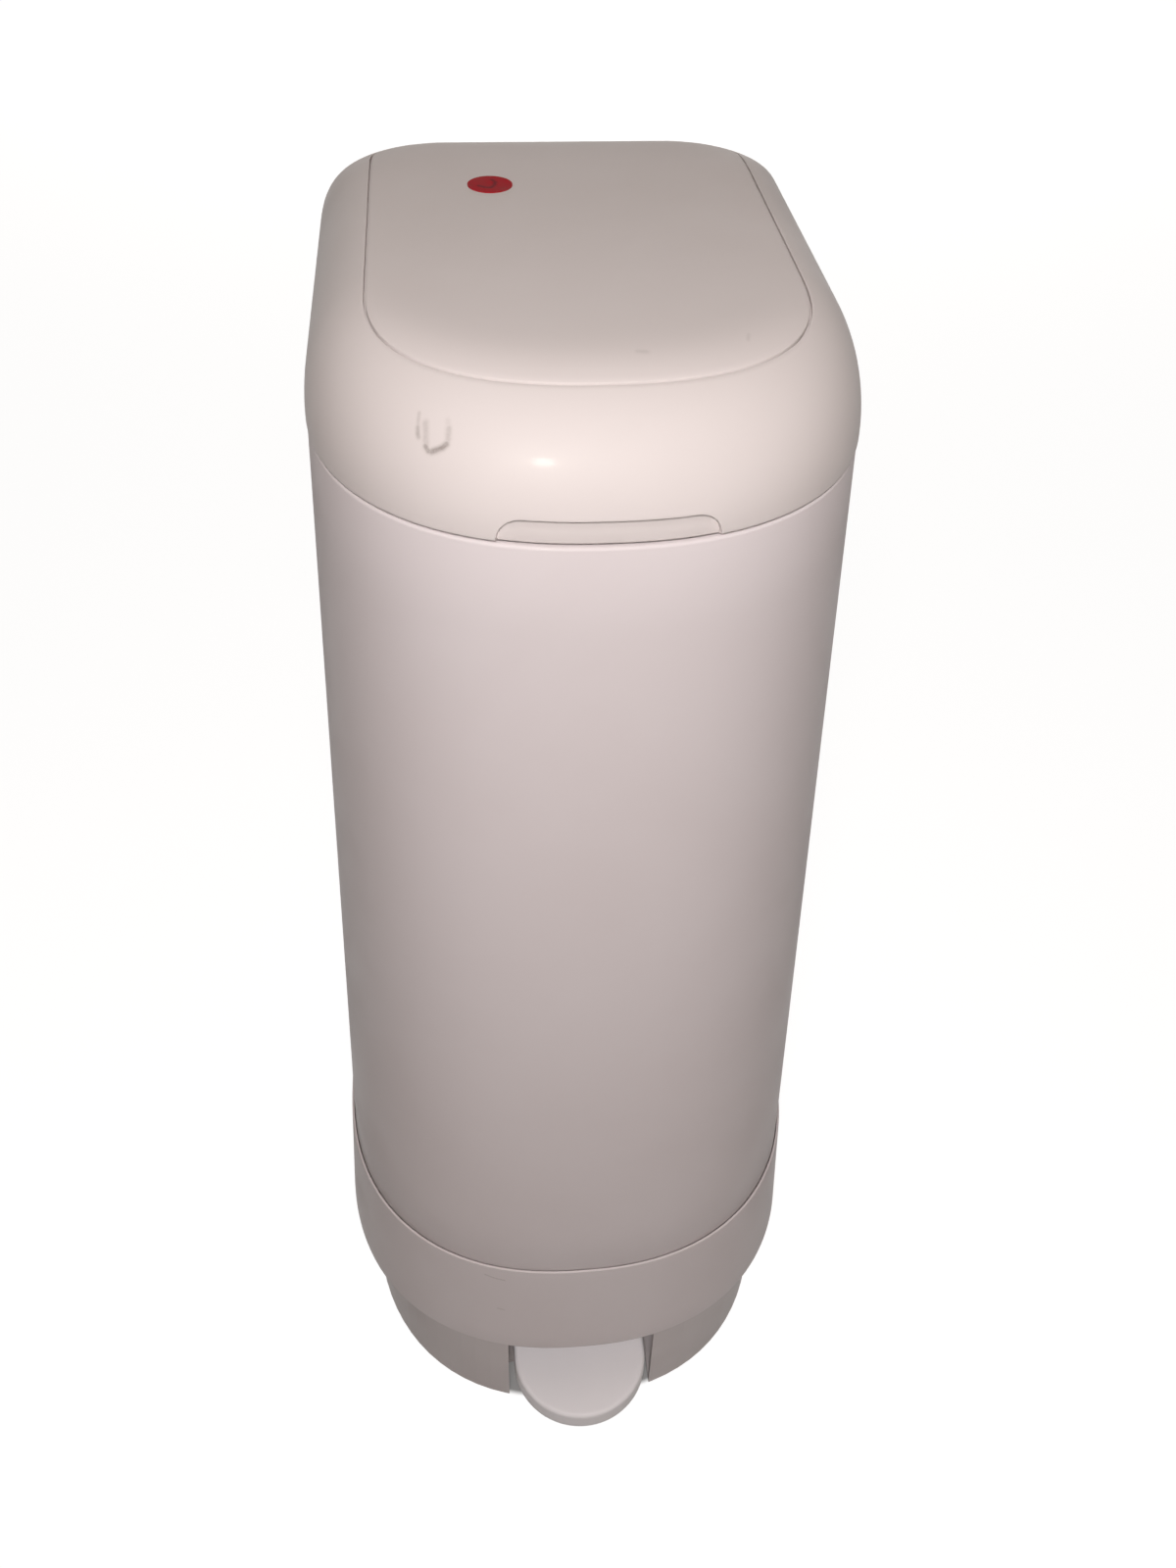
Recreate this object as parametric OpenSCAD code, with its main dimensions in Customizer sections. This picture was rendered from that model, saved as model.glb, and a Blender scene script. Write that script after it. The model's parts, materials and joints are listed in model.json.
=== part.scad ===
// Pedal nappy bin with a domed lid, a front that tilts forward and a film cassette.
// Millimetres, +Z up, front towards -Y. The origin is the bottom centre of the whole bin.

/* [Heights] */
// How far the rubber feet stand out below the base
foot_h = 1.5; // [1:0.5:3]
// Height of the top of the base above the floor
base_top = 65; // [60:1:74]
// Height of the seam between the lower band and the tilting front
seam_z = 140; // [132:1:150]
// Height of the seam between body and lid
lid_seam_z = 575; // [560:1:640]
// Rise of the lid above its seam
lid_rise = 48; // [46:1:60]

/* [Body] */
// Width of the tilting front at its lower seam
body_w = 244; // [240:1:250]
// Width of the tilting front at the lid seam
top_w = 206; // [201:1:215]
// Width of the lower band at its bottom edge
band_w = 257; // [254:1:264]
// Width of the base
base_w = 236; // [230:1:240]
// Bow of the front at its lower seam, from the split line forward
body_bow = 124; // [120:1:128]
// Bow of the front at the lid seam
top_bow = 108; // [105:1:112]
// Bow of the lower band at its bottom edge
band_bow = 130; // [128:1:134]
// Bow of the base
base_bow = 128.5; // [122:0.5:129]
// Depth from the split line to the back
back_d = 173; // [171:1:180]
// Radius of the rear corners
rear_r = 37; // [32:1:40]
// Roundness of the bowed front, where 2 is an ellipse
bow_power = 2.32; // [2.1:0.02:2.6]
// Wall of the body and the front
wall = 3; // [2.5:0.1:3.2]
// How far the rear body stands proud of the front at the lid seam
rear_proud = 1; // [0:0.5:4]
// Thickness of the lip of the lower band
lip_t = 1.2; // [1:0.1:1.6]
// Gap between the lip and the front
lip_gap = 0.4; // [0.4:0.1:0.6]
// Width of a visible seam
seam_gap = 1.2; // [1:0.1:1.5]

/* [Lid] */
// How far the lid overhangs the front
lid_over = 0.5; // [0.5:0.5:2.5]
// Wall of the lid
lid_wall = 3.6; // [3.2:0.1:4]
// Thickness of the inset top panel
panel_t = 1.6; // [1.2:0.1:1.8]
// Width of the groove round the top panel
groove_w = 0.8; // [0.5:0.1:1.2]
// Rounding of the lid's front shoulder
front_round = 49; // [40:1:55]
// Rounding of the lid's side shoulders
side_round = 30; // [24:1:34]
// Rounding of the lid's rear shoulder
back_round = 52; // [20:1:54]
// Width of the inset top panel
panel_w = 155; // [146:1:160]
// Distance from the split line to the front of the top panel
panel_front = 80; // [74:1:84]
// Distance from the split line to the rear of the top panel
panel_back = 150; // [124:1:154]
// Width of the finger recess
recess_w = 75; // [60:1:84]
// Height of the finger recess
recess_h = 8.5; // [6:0.5:10]
// Depth of the finger recess
recess_d = 2; // [1.4:0.1:2.4]
// Angle the lid opens
lid_angle = 78; // [60:1:80]
// Diameter of the round sticker
sticker_d = 18; // [15:1:24]

/* [Pedal] */
// Width of the pedal
pedal_w = 75; // [60:1:76]
// How far the pedal reaches in front of the split line
pedal_reach = 156; // [154:1:166]
// Height of the pedal's top face
pedal_top = 37; // [36:1:40]
// Depth of the pedal's rim
pedal_rim = 13; // [10:1:14]
// Width of the slot that the pedal works in
slot_w = 82; // [80:1:84]
// Width of the lever behind the pedal
lever_w = 24; // [20:1:28]
// Travel of the lift rod
rod_travel = 23.5; // [20:0.5:23.5]

/* [Pins] */
// Radius of the steel pins and of the lift rod
pin_r = 3; // [2.5:0.1:3.2]
// Radial clearance of every running fit
fit = 0.06; // [0.03:0.01:0.1]
// Radius of the clamp pins
clamp_pin_r = 2; // [1.8:0.1:2.2]
// Shank radius of the screws
screw_r = 2; // [1.8:0.1:2.2]
// Head radius of the screws
head_r = 4; // [3.5:0.1:4.2]

/* [Pail] */
// Width of the inner pail
pail_w = 204; // [196:1:205]
// Bow of the inner pail
pail_bow = 106; // [100:1:106]
// Space between the inner pail and the back
pail_rear_gap = 38; // [38:1:50]
// Height of the inner pail
pail_h = 250; // [200:1:252]
// Wall of the inner pail
pail_wall = 2.5; // [2:0.1:3]

/* [Film] */
// Distance of the cassette's centre behind the split line
well_y = 20; // [18:1:22]
// Outer radius of the film cassette
cassette_r = 75.5; // [74:0.5:76]
// Inner radius of the film cassette
cassette_bore = 50.5; // [50.5:0.5:52]
// Height of the film cassette
cassette_h = 46; // [42:1:46]
// Angle each clamp opens downwards
clamp_angle = 60; // [45:1:60]

/* [Hidden] */

$fn = 64;
eps = 0.01;             // overlap that joins two shapes
cut = 1;                // how far a cutter runs past what it cuts
join = 1;               // how far a rib or boss runs into the wall behind it
big = 400;              // larger than the bin, for cutting away one side
front_steps = 40;       // facets of a bowed front
corner_steps = 6;       // facets of a rear corner
dome_steps = 8;         // facets of the lid's shoulders
seat_gap = 0.3;         // gap between pieces that move against each other
screw_room = 0.3;       // radial clearance of a screw in a plain hole
head_room = 0.5;        // radial clearance round a screw's head
head_t = 2.5;           // height of a screw's head
pin_head_r = pin_r + 1.5;
pin_end_gap = 0.6;      // gap between a pin's end and the bottom of its hole

// Colours
white = [0.86, 0.84, 0.83];
white_pedal = [0.90, 0.91, 0.93];
grey = [0.62, 0.62, 0.64];
light_grey = [0.75, 0.75, 0.76];
steel = [0.70, 0.71, 0.73];
black = [0.10, 0.10, 0.11];
film_blue = [0.80, 0.86, 0.90];
red = [0.80, 0.12, 0.12];

// Heights that follow from the driving ones
lip_cover = 1.5;        // how far the front hangs down behind the lower band's lip
shell_bottom = seam_z - lip_cover;
shell_top = lid_seam_z - seam_gap / 2;
lid_z = lid_seam_z + seam_gap / 2;
lid_top = lid_seam_z + lid_rise;
floor_top = base_top + wall;

// Plan of the lid at its rim
lid_a = top_w / 2 + lid_over;
lid_b = top_bow + lid_over;

// Tilting front: its axis lies just in front of the split line, so its rear edge only moves forward
tilt_y = -12;
tilt_rise = 20;
tilt_z = seam_z + tilt_rise;
corner_r = -tilt_y - seam_gap / 2;

// Lid hinge
hinge_inset = 10;
hinge_rise = 10.4;
hinge_y = back_d - hinge_inset;
hinge_z = lid_z + hinge_rise;
barrel_r = 6;
cover_r = 15;
hinge_half = 64;

// Deck that carries the cassette
deck_t = 3;
skirt_h = 14;
skirt_t = 2.5;
deck_drop = 16;         // from the lid's seam down to the deck
deck_top = lid_seam_z - deck_drop;
deck_bottom = deck_top - deck_t;
well_wall = 2.5;
cassette_room = 0.5;
well_r = cassette_r + cassette_room;
well_floor = 3;
cassette_drop = 59.7;   // from the lid's seam down to the underside of the cassette
cassette_z = lid_seam_z - cassette_drop;
funnel_r = 63;
funnel_wall = 3;
funnel_drop = 125;
funnel_bottom = lid_seam_z - funnel_drop;
well_bottom = cassette_z - seat_gap - well_floor;
seal_rim_h = 9;
clamp_drop = 72;
clamp_z = lid_seam_z - clamp_drop;
clamp_x = 54;
clamp_reach = 52;
clamp_t = 3;

// Pedal linkage
pedal_pin_y = -20;
lever_drop = 6;         // from the pedal's top face down to its pivot
rod_ahead = 23;         // how far the lift rod stands in front of the lid's hinge
pedal_pin_z = pedal_top - lever_drop;
rod_y = hinge_y - rod_ahead;
lug_r = 4;
lever_r = 5;
lever_t = 10;
rod_foot_z = pedal_pin_z + lever_r + seat_gap;
rod_top_z = hinge_z - lug_r - seat_gap;
cap_t = 5;
guide_r = 6;

// The bin's bounding box runs from the pedal to the hinge cover
y_shift = (pedal_reach - hinge_y - cover_r) / 2;

// ---------------------------------------------------------------- plans and lofts

function mix(a, b, t) = a + (b - a) * t;
function bow(t) = sign(t) * pow(abs(t), 2 / bow_power);

// Closed outline: bowed front of half width a and depth b, straight sides, rounded rear corners
function plan(a, b, back, r) = concat(
    [for (i = [0:front_steps]) let (t = 180 * i / front_steps) [a * bow(cos(t)), -b * bow(sin(t))]],
    [for (i = [0:corner_steps]) let (t = 90 * i / corner_steps)
        [-a + r - r * cos(t), back - r + r * sin(t)]],
    [for (i = [0:corner_steps]) let (t = 90 * i / corner_steps)
        [a - r + r * sin(t), back - r + r * cos(t)]]
);

function ring(outline, z) = [for (p = outline) [p[0], p[1], z]];

// Closed solid through rings that all have the same number of points
module loft(rings) {
    n = len(rings[0]);
    last = len(rings) - 1;
    sides = [for (k = [0:last - 1], i = [0:n - 1])
        let (j = (i + 1) % n, low = k * n, up = (k + 1) * n)
        each [[low + j, up + j, up + i], [low + j, up + i, low + i]]];
    bottom = [for (i = [n - 1:-1:0]) i];
    top = [for (i = [0:n - 1]) last * n + i];
    polyhedron(points = [for (r = rings) each r], faces = concat(sides, [bottom, top]));
}

module prism(outline, z0, z1) {
    translate([0, 0, z0]) linear_extrude(z1 - z0) polygon(outline);
}

// Solid round bar along X, Y or Z
module bar_x(r, x0, x1, y, z) {
    translate([x0, y, z]) rotate([0, 90, 0]) cylinder(r = r, h = x1 - x0);
}

module bar_y(r, y0, y1, x, z) {
    translate([x, y1, z]) rotate([90, 0, 0]) cylinder(r = r, h = y1 - y0);
}

module bar_z(r, z0, z1, x = 0, y = 0) {
    translate([x, y, z0]) cylinder(r = r, h = z1 - z0);
}

// Box between two corners
module box(low, high) {
    translate(low) cube(high - low);
}

module pair_x() {
    children();
    mirror([1, 0, 0]) children();
}

// Spring wire: one unbroken tube along Z, wound round the origin
module coil(r, wire_r, turns, length, start = 0) {
    ring_steps = 10;
    sides = 6;
    count = round(turns * ring_steps);
    points = [for (k = [0:count], s = [0:sides - 1])
        let (t = start + 360 * k / ring_steps, u = -360 * s / sides, out = r + wire_r * cos(u))
        [out * cos(t), out * sin(t), wire_r + (length - 2 * wire_r) * k / count + wire_r * sin(u)]];
    skin = [for (k = [0:count - 1], s = [0:sides - 1])
        let (n = (s + 1) % sides, low = k * sides, up = low + sides)
        each [[low + s, up + s, up + n], [low + s, up + n, low + n]]];
    first = [for (s = [0:sides - 1]) s];
    last = [for (s = [sides - 1:-1:0]) count * sides + s];
    polyhedron(points = points, faces = concat(skin, [first, last]));
}

// Every node is drawn about the split line and then moved to the bin's own origin
module place() {
    translate([0, y_shift, 0]) children();
}

// ---------------------------------------------------------------- outlines of the body

function rise(z) = (z - seam_z) / (lid_seam_z - seam_z);
function front_a(z) = mix(body_w / 2, top_w / 2, rise(z));
function front_b(z) = mix(body_bow, top_bow, rise(z));
function rear_a(z) = mix(body_w / 2, top_w / 2 + rear_proud, rise(z));

function front_ring(z, t) = ring(plan(front_a(z) - t, front_b(z) - t, back_d - t, rear_r - t), z);
function rear_ring(z, t) = ring(plan(rear_a(z) - t, front_b(z) - t, back_d - t, rear_r - t), z);

lip_out = lip_gap + lip_t;
function band_ring(z, t_low, t_high) =
    let (f = (z - base_top) / (seam_z - base_top), t = mix(t_low, t_high, f))
    ring(plan(mix(band_w / 2, body_w / 2 + lip_out, f) - t, mix(band_bow, body_bow + lip_out, f) - t,
        back_d + lip_out - t, rear_r - t), z);

// Ring of the lid's dome at angle t from the rim, set in by d
function lid_ring(t, d) = ring(
    plan(lid_a - d - side_round * (1 - cos(t)), lid_b - d - front_round * (1 - cos(t)),
        back_d - d - back_round * (1 - cos(t)), rear_r - d),
    lid_z + (lid_top - lid_z - d) * sin(t));

module lid_dome(d) {
    loft([for (k = [0:dome_steps]) lid_ring(90 * k / dome_steps, d)]);
}

// The same dome run on below the rim, for hollowing out
module lid_hollow(d) {
    skirt = [for (p = lid_ring(0, d)) [p[0], p[1], lid_z - cut]];
    loft(concat([skirt], [for (k = [0:dome_steps]) lid_ring(90 * k / dome_steps, d)]));
}

panel_side_y = -18;     // where the panel's straight sides end
panel_r = 30;           // radius of the panel's rear corners
module panel_outline(d) {
    translate([0, panel_side_y])
        polygon(plan(panel_w / 2 - d, panel_front + panel_side_y - d, panel_back - panel_side_y - d,
            panel_r - d));
}

// ---------------------------------------------------------------- base and pedal

post_x = 80;
post_front_y = -58;
post_rear_y = 108;
post_r = 6;
ear_x = 16;
ear_t = 4;
ear_r = 8;
base_inset = 4;         // how far the base's back stands in from the body's
slot_depth = 24;        // how far the pedal's slot runs into the base
base_head_drop = 12;    // depth of the screw heads below the base's top
base_head_z = base_top - base_head_drop;
base_head_t = 3;
base_screw_rise = 14;
base_screw_top = base_top + base_screw_rise;

module base_outline(t) {
    polygon(plan(base_w / 2 - t, base_bow - t, back_d - base_inset - t, rear_r - base_inset - t));
}

module at_posts() {
    for (y = [post_front_y, post_rear_y]) pair_x() translate([post_x, y, 0]) children();
}

foot_x = 78;
foot_front_y = -76;
foot_rear_y = 128;
foot_r = 9;
foot_sink = 1;
foot_fit = 0.1;

module at_feet() {
    for (y = [foot_front_y, foot_rear_y]) pair_x() translate([foot_x, y, 0]) children();
}

// Hole of the pedal's pin through the base's ears and the lever
module pedal_bore() {
    bar_x(pin_r + fit, -ear_x - ear_t - cut, ear_x + ear_t + cut, pedal_pin_y, pedal_pin_z);
}

module base() {
    color(white) place() difference() {
        union() {
            difference() {
                translate([0, 0, foot_h]) linear_extrude(base_top - foot_h) base_outline(0);
                translate([0, 0, foot_h + wall]) linear_extrude(base_top) base_outline(wall);
                box([-slot_w / 2, -big / 2, -cut], [slot_w / 2, slot_depth - base_bow, base_top + cut]);
            }
            at_posts() bar_z(post_r, foot_h + eps, base_top);
            pair_x() box([ear_x, pedal_pin_y - ear_r, foot_h + eps],
                [ear_x + ear_t, pedal_pin_y + ear_r, pedal_pin_z]);
            pair_x() bar_x(ear_r, ear_x, ear_x + ear_t, pedal_pin_y, pedal_pin_z);
        }
        at_posts() bar_z(screw_r + screw_room, 0, base_top + cut);
        at_posts() bar_z(head_r + head_room, 0, base_head_z);
        pedal_bore();
        at_feet() bar_z(foot_r + foot_fit, 0, foot_h + foot_sink);
    }
}

module rubber_feet() {
    color(black) place() at_feet() bar_z(foot_r, 0, foot_h + foot_sink);
}

module base_screws() {
    color(steel) place() at_posts() {
        bar_z(head_r, base_head_z - base_head_t, base_head_z);
        bar_z(screw_r, base_head_z - eps, base_screw_top);
    }
}

pedal_flat_y = -(pedal_reach - pedal_w / 2);   // where the pedal's round nose begins
plate_back_inset = 26;
pedal_plate_back = plate_back_inset - base_bow;
pedal_plate_t = 4;
lever_root = 3;         // how far the lever runs under the plate
groove_stop = 2;        // solid part of the lever beside its pivot
lever_web = 3;          // wall over the groove

module pedal_outline(d) {
    translate([0, pedal_flat_y]) circle(r = pedal_w / 2 - d);
    translate([-pedal_w / 2 + d, pedal_flat_y])
        square([pedal_w - 2 * d, pedal_plate_back - pedal_flat_y - d]);
}

module lever_groove(y0, y1) {
    box([-lever_w / 2 + wall, y0, pedal_pin_z - lever_t],
        [lever_w / 2 - wall, y1, pedal_pin_z + lever_t / 2 - lever_web]);
}

module pedal() {
    color(white_pedal) place() difference() {
        union() {
            difference() {
                translate([0, 0, pedal_top - pedal_rim]) linear_extrude(pedal_rim) pedal_outline(0);
                translate([0, 0, pedal_top - pedal_rim - cut])
                    linear_extrude(pedal_rim - pedal_plate_t + cut) pedal_outline(wall);
            }
            box([-lever_w / 2, pedal_plate_back - lever_root, pedal_pin_z - lever_t / 2],
                [lever_w / 2, rod_y, pedal_pin_z + lever_t / 2]);
            bar_x(ear_r, -lever_w / 2, lever_w / 2, pedal_pin_y, pedal_pin_z);
            bar_x(lever_r, -lever_w / 2, lever_w / 2, rod_y, pedal_pin_z);
        }
        pedal_bore();
        // Grooves under the lever, on both sides of its pivot
        lever_groove(pedal_plate_back, pedal_pin_y - ear_r - groove_stop);
        lever_groove(pedal_pin_y + ear_r + groove_stop, rod_y - lever_r - lever_web);
    }
}

pedal_pin_tail = 1;     // how far the pin stands out of the ears
pedal_pin_head = 2;     // how far its head does

module pedal_pin() {
    ear_end = ear_x + ear_t;
    color(steel) place() {
        bar_x(pin_r, -ear_end - pedal_pin_tail, ear_end + pedal_pin_tail, pedal_pin_y, pedal_pin_z);
        bar_x(pin_head_r, ear_end + seat_gap, ear_end + pedal_pin_head, pedal_pin_y, pedal_pin_z);
    }
}

wire_r = 0.4;           // of the pedal's and the clamps' springs

module pedal_spring() {
    length = ear_x - lever_w / 2 - 2 * seat_gap;
    turns = 2.5;
    loop_r = pin_r + wire_r + seat_gap;
    leg_sink = 0.2;
    leg_foot_z = foot_h + wall + seat_gap;
    color(steel) place() translate([lever_w / 2 + seat_gap, pedal_pin_y, pedal_pin_z]) {
        rotate([0, 90, 0]) coil(loop_r, wire_r, turns, length);
        // Leg that rests on the base
        translate([wire_r, loop_r - leg_sink, leg_foot_z - pedal_pin_z])
            cylinder(r = wire_r, h = pedal_pin_z - leg_foot_z);
    }
}

// ---------------------------------------------------------------- lift rod

cap_floor = 1;          // closed end of a rod's cap
foot_cap_r = 7;
top_cap_r = 5;
guide_below = 3;
guide_flange_t = 3;
guide_flange_w = 2.5;
guide_flange_r = guide_r + guide_flange_w;

module lift_rod() {
    color(steel) place() bar_z(pin_r, rod_foot_z + cap_floor, rod_top_z - cap_floor, 0, rod_y);
}

module rod_caps() {
    color(grey) place() {
        difference() {
            bar_z(foot_cap_r, rod_foot_z, rod_foot_z + cap_t, 0, rod_y);
            bar_z(pin_r + fit, rod_foot_z + cap_floor - eps, rod_foot_z + cap_t + cut, 0, rod_y);
        }
        difference() {
            bar_z(top_cap_r, rod_top_z - cap_t, rod_top_z, 0, rod_y);
            bar_z(pin_r + fit, rod_top_z - cap_t - cut, rod_top_z - cap_floor + eps, 0, rod_y);
        }
    }
}

module rod_guide(z) {
    difference() {
        union() {
            bar_z(guide_r, z - guide_below, z + guide_flange_t, 0, rod_y);
            bar_z(guide_flange_r, z, z + guide_flange_t, 0, rod_y);
        }
        bar_z(pin_r + fit, z - guide_below - cut, z + guide_flange_t + cut, 0, rod_y);
    }
}

module rod_guides() {
    color(grey) place() {
        rod_guide(floor_top);
        rod_guide(deck_top);
    }
}

// ---------------------------------------------------------------- housing with the lower band

lug_x = 107;
lug_t = 5;
deck_screw_x = 95.5;
deck_screw_front_y = 30;
deck_screw_rear_y = 122;
deck_screw_end = 16;
deck_boss_r = 6;
deck_boss_h = 34;
deck_rib_t = 6;
lug_half = 8;           // of the lugs that carry the front's pivots
housing_post_h = 15;
housing_post_hole = 13;
deck_hole_h = 20;
rear_dip = 4;           // how far the rear wall runs down into the band

module at_deck_screws() {
    for (y = [deck_screw_front_y, deck_screw_rear_y]) pair_x() translate([deck_screw_x, y, 0]) children();
}

module front_half(y) {
    intersection() {
        children();
        box([-big, -big, -big], [big, y, 2 * big]);
    }
}

module rear_half(y) {
    intersection() {
        children();
        box([-big, y, -big], [big, big, 2 * big]);
    }
}

// The rear wall is lower, where the lid's back swings down
rear_rim_depth = 28;
rear_rim_drop = 5;
rear_rim_y = back_d - rear_rim_depth;
rear_rim_z = lid_z - rear_rim_drop;

module body_housing() {
    color(white) place() difference() {
        union() {
            // Lower band and floor; in front its inside stays clear of the front's dipping edge
            difference() {
                loft([band_ring(base_top, 0, 0), band_ring(seam_z, 0, 0)]);
                front_half(0)
                    loft([band_ring(floor_top, wall, lip_t), band_ring(seam_z + cut, wall, lip_t)]);
                rear_half(-eps) loft([band_ring(floor_top, wall, wall + lip_out),
                    band_ring(seam_z + cut, wall, wall + lip_out)]);
            }
            // Sides and back above the band
            rear_half(seam_gap / 2) difference() {
                loft([rear_ring(seam_z - rear_dip, 0), rear_ring(shell_top, 0)]);
                loft([rear_ring(seam_z - rear_dip - cut, wall), rear_ring(shell_top + cut, wall)]);
            }
            at_posts() bar_z(post_r, floor_top - eps, floor_top + housing_post_h);
            // Bosses for the deck, joined to the side walls
            at_deck_screws() bar_z(deck_boss_r, deck_bottom - deck_boss_h, deck_bottom);
            for (y = [deck_screw_front_y, deck_screw_rear_y]) pair_x()
                box([deck_screw_x, y - deck_rib_t / 2, deck_bottom - deck_boss_h],
                    [rear_a(deck_bottom) - wall + join, y + deck_rib_t / 2, deck_bottom]);
            // Lugs for the pivots of the front
            pair_x() box([lug_x, tilt_y - lug_half, floor_top - eps],
                [lug_x + lug_t, tilt_y + lug_half, tilt_z]);
            pair_x() bar_x(lug_half, lug_x, lug_x + lug_t, tilt_y, tilt_z);
        }
        box([-big, rear_rim_y, rear_rim_z], [big, big, big * 2]);
        at_posts() bar_z(screw_r + fit, base_top - cut, floor_top + housing_post_hole);
        at_deck_screws() bar_z(screw_r + fit, deck_bottom - deck_hole_h, deck_bottom + cut);
        bar_z(guide_r + fit, base_top - cut, floor_top + cut, 0, rod_y);
        pair_x() bar_x(pin_r + fit, lug_x - cut, lug_x + lug_t + cut, tilt_y, tilt_z);
    }
}

// ---------------------------------------------------------------- tilting front and pail

boss_x = 112.8;
pad_step = 1;            // how far the pail's pads stand proud of its front
pail_pad_y = -pail_bow - pad_step;
pail_screw_x = 20;
pail_back = back_d - pail_rear_gap;
pail_lift = 9;           // of the pail's underside above the seam
pail_bottom = seam_z + pail_lift;
pail_top = pail_bottom + pail_h;
pail_screw_rise = 41;
pail_screw_drop = 29;
pail_screw_low = pail_bottom + pail_screw_rise;
pail_screw_high = pail_top - pail_screw_drop;
latch_inset = 17;
latch_drop = 8;
latch_y = latch_inset - top_bow;      // inner face of the latch lip
latch_z = deck_bottom - latch_drop;
latch_half = 14;
latch_t = 2;
pivot_boss_r = 9;
pivot_depth = 5.2;
pail_boss_r = 6;
pail_screw_hole = 5;
pail_screw_end = 4;
pad_half = 8;
pad_t = 4;

module at_pail_screws() {
    for (z = [pail_screw_low, pail_screw_high]) pair_x() translate([pail_screw_x, 0, z]) children();
}

module front_shell() {
    color(white) place() difference() {
        union() {
            front_half(-seam_gap / 2) difference() {
                loft([front_ring(shell_bottom, 0), front_ring(shell_top, 0)]);
                loft([front_ring(shell_bottom - cut, wall), front_ring(shell_top + cut, wall)]);
            }
            pair_x() bar_x(pivot_boss_r, boss_x, front_a(tilt_z) - join, tilt_y, tilt_z);
            // Bosses that carry the pail
            for (z = [pail_screw_low, pail_screw_high]) pair_x()
                bar_y(pail_boss_r, -front_b(z) + wall / 2, pail_pad_y, pail_screw_x, z);
            // Catch that the release button holds
            box([-latch_half, -front_b(deck_top) + join, deck_bottom], [latch_half, latch_y, deck_top]);
            box([-latch_half, latch_y - latch_t, latch_z], [latch_half, latch_y, deck_top]);
        }
        // Lower rear corners, rounded about the pivot
        difference() {
            box([-big, tilt_y, shell_bottom - 2 * cut], [big, cut, tilt_z]);
            bar_x(corner_r, -big - cut, big + cut, tilt_y, tilt_z);
        }
        pair_x() bar_x(pin_r + fit, boss_x - cut, boss_x + pivot_depth, tilt_y, tilt_z);
        at_pail_screws() bar_y(screw_r + fit, pail_pad_y - pail_screw_hole, pail_pad_y + cut, 0, 0);
    }
}

pail_corner_r = 30;
function pail_plan(t) = plan(pail_w / 2 - t, pail_bow - t, pail_back - t, pail_corner_r - t);

module inner_pail() {
    color(light_grey) place() difference() {
        union() {
            difference() {
                prism(pail_plan(0), pail_bottom, pail_top);
                prism(pail_plan(pail_wall), pail_bottom + pail_wall, pail_top + cut);
            }
            // Pads against the bosses of the front
            at_pail_screws()
                box([-pad_half, pail_pad_y, -pad_half], [pad_half, pail_pad_y + pad_t, pad_half]);
        }
        at_pail_screws() bar_y(screw_r + screw_room, pail_pad_y - cut, pail_pad_y + pad_t + wall, 0, 0);
    }
}

pail_seat = 5.5;         // from the pads to the seat of the screw heads inside the pail
pail_inner_y = pail_pad_y + pail_seat;

module pail_screws() {
    color(steel) place() at_pail_screws() {
        bar_y(head_r, pail_inner_y, pail_inner_y + head_t, 0, 0);
        bar_y(screw_r, pail_pad_y - pail_screw_end, pail_inner_y + eps, 0, 0);
    }
}

pivot_head_t = 2.2;
pivot_head_x = lug_x - seat_gap - pivot_head_t;

module pivot_pins() {
    color(steel) place() pair_x() {
        bar_x(pin_r, lug_x - seat_gap, boss_x + pivot_depth - pin_end_gap, tilt_y, tilt_z);
        bar_x(pin_head_r, pivot_head_x, lug_x - seat_gap + eps, tilt_y, tilt_z);
    }
}

// ---------------------------------------------------------------- deck, cassette and clamps

deck_side_gap = 4;      // beside the front's walls, which swing past the deck
deck_gap = 1.5;
deck_back_gap = 8;
deck_corner_r = 30;
deck_front_a = front_a(deck_bottom) - wall - deck_side_gap;
deck_front_b = front_b(deck_bottom) - wall - deck_gap;
deck_rear_a = rear_a(deck_bottom) - wall - deck_gap;
deck_step_front = 6;    // the plate is narrower in front of here, where the front's walls pass
deck_step_rear = 3;
seal_r = 83.5;
seal_rim_t = 3;
tower_x = 39.4;
tower_t = 6.6;
tower_back = 2.5;
notch_half = 20;        // half width of the notch for the front's catch
notch_back = 3;
rib_room = 1;           // gap between the skirt and the housing's ribs
button_x = 13.7;
button_y0 = -83.7;
button_y1 = -70.3;

module at_well() {
    translate([0, well_y, 0]) children();
}

module deck_plan(d) {
    intersection() {
        polygon(plan(deck_front_a - d, deck_front_b - d, back_d - deck_back_gap - d, deck_corner_r - d));
        translate([-big, -big]) square([2 * big, big + deck_step_front]);
    }
    intersection() {
        polygon(plan(deck_rear_a - d, deck_front_b - d, back_d - deck_back_gap - d, deck_corner_r - d));
        translate([-big, deck_step_rear + d]) square([2 * big, big]);
    }
}

skirt_cut_z = deck_bottom - skirt_h - cut;

// Opening that the release button passes through, with clearance d round it
module button_hole(d) {
    box([-button_x - d, button_y0 - d, skirt_cut_z], [button_x + d, button_y1 + d, deck_top + cut]);
}

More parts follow.
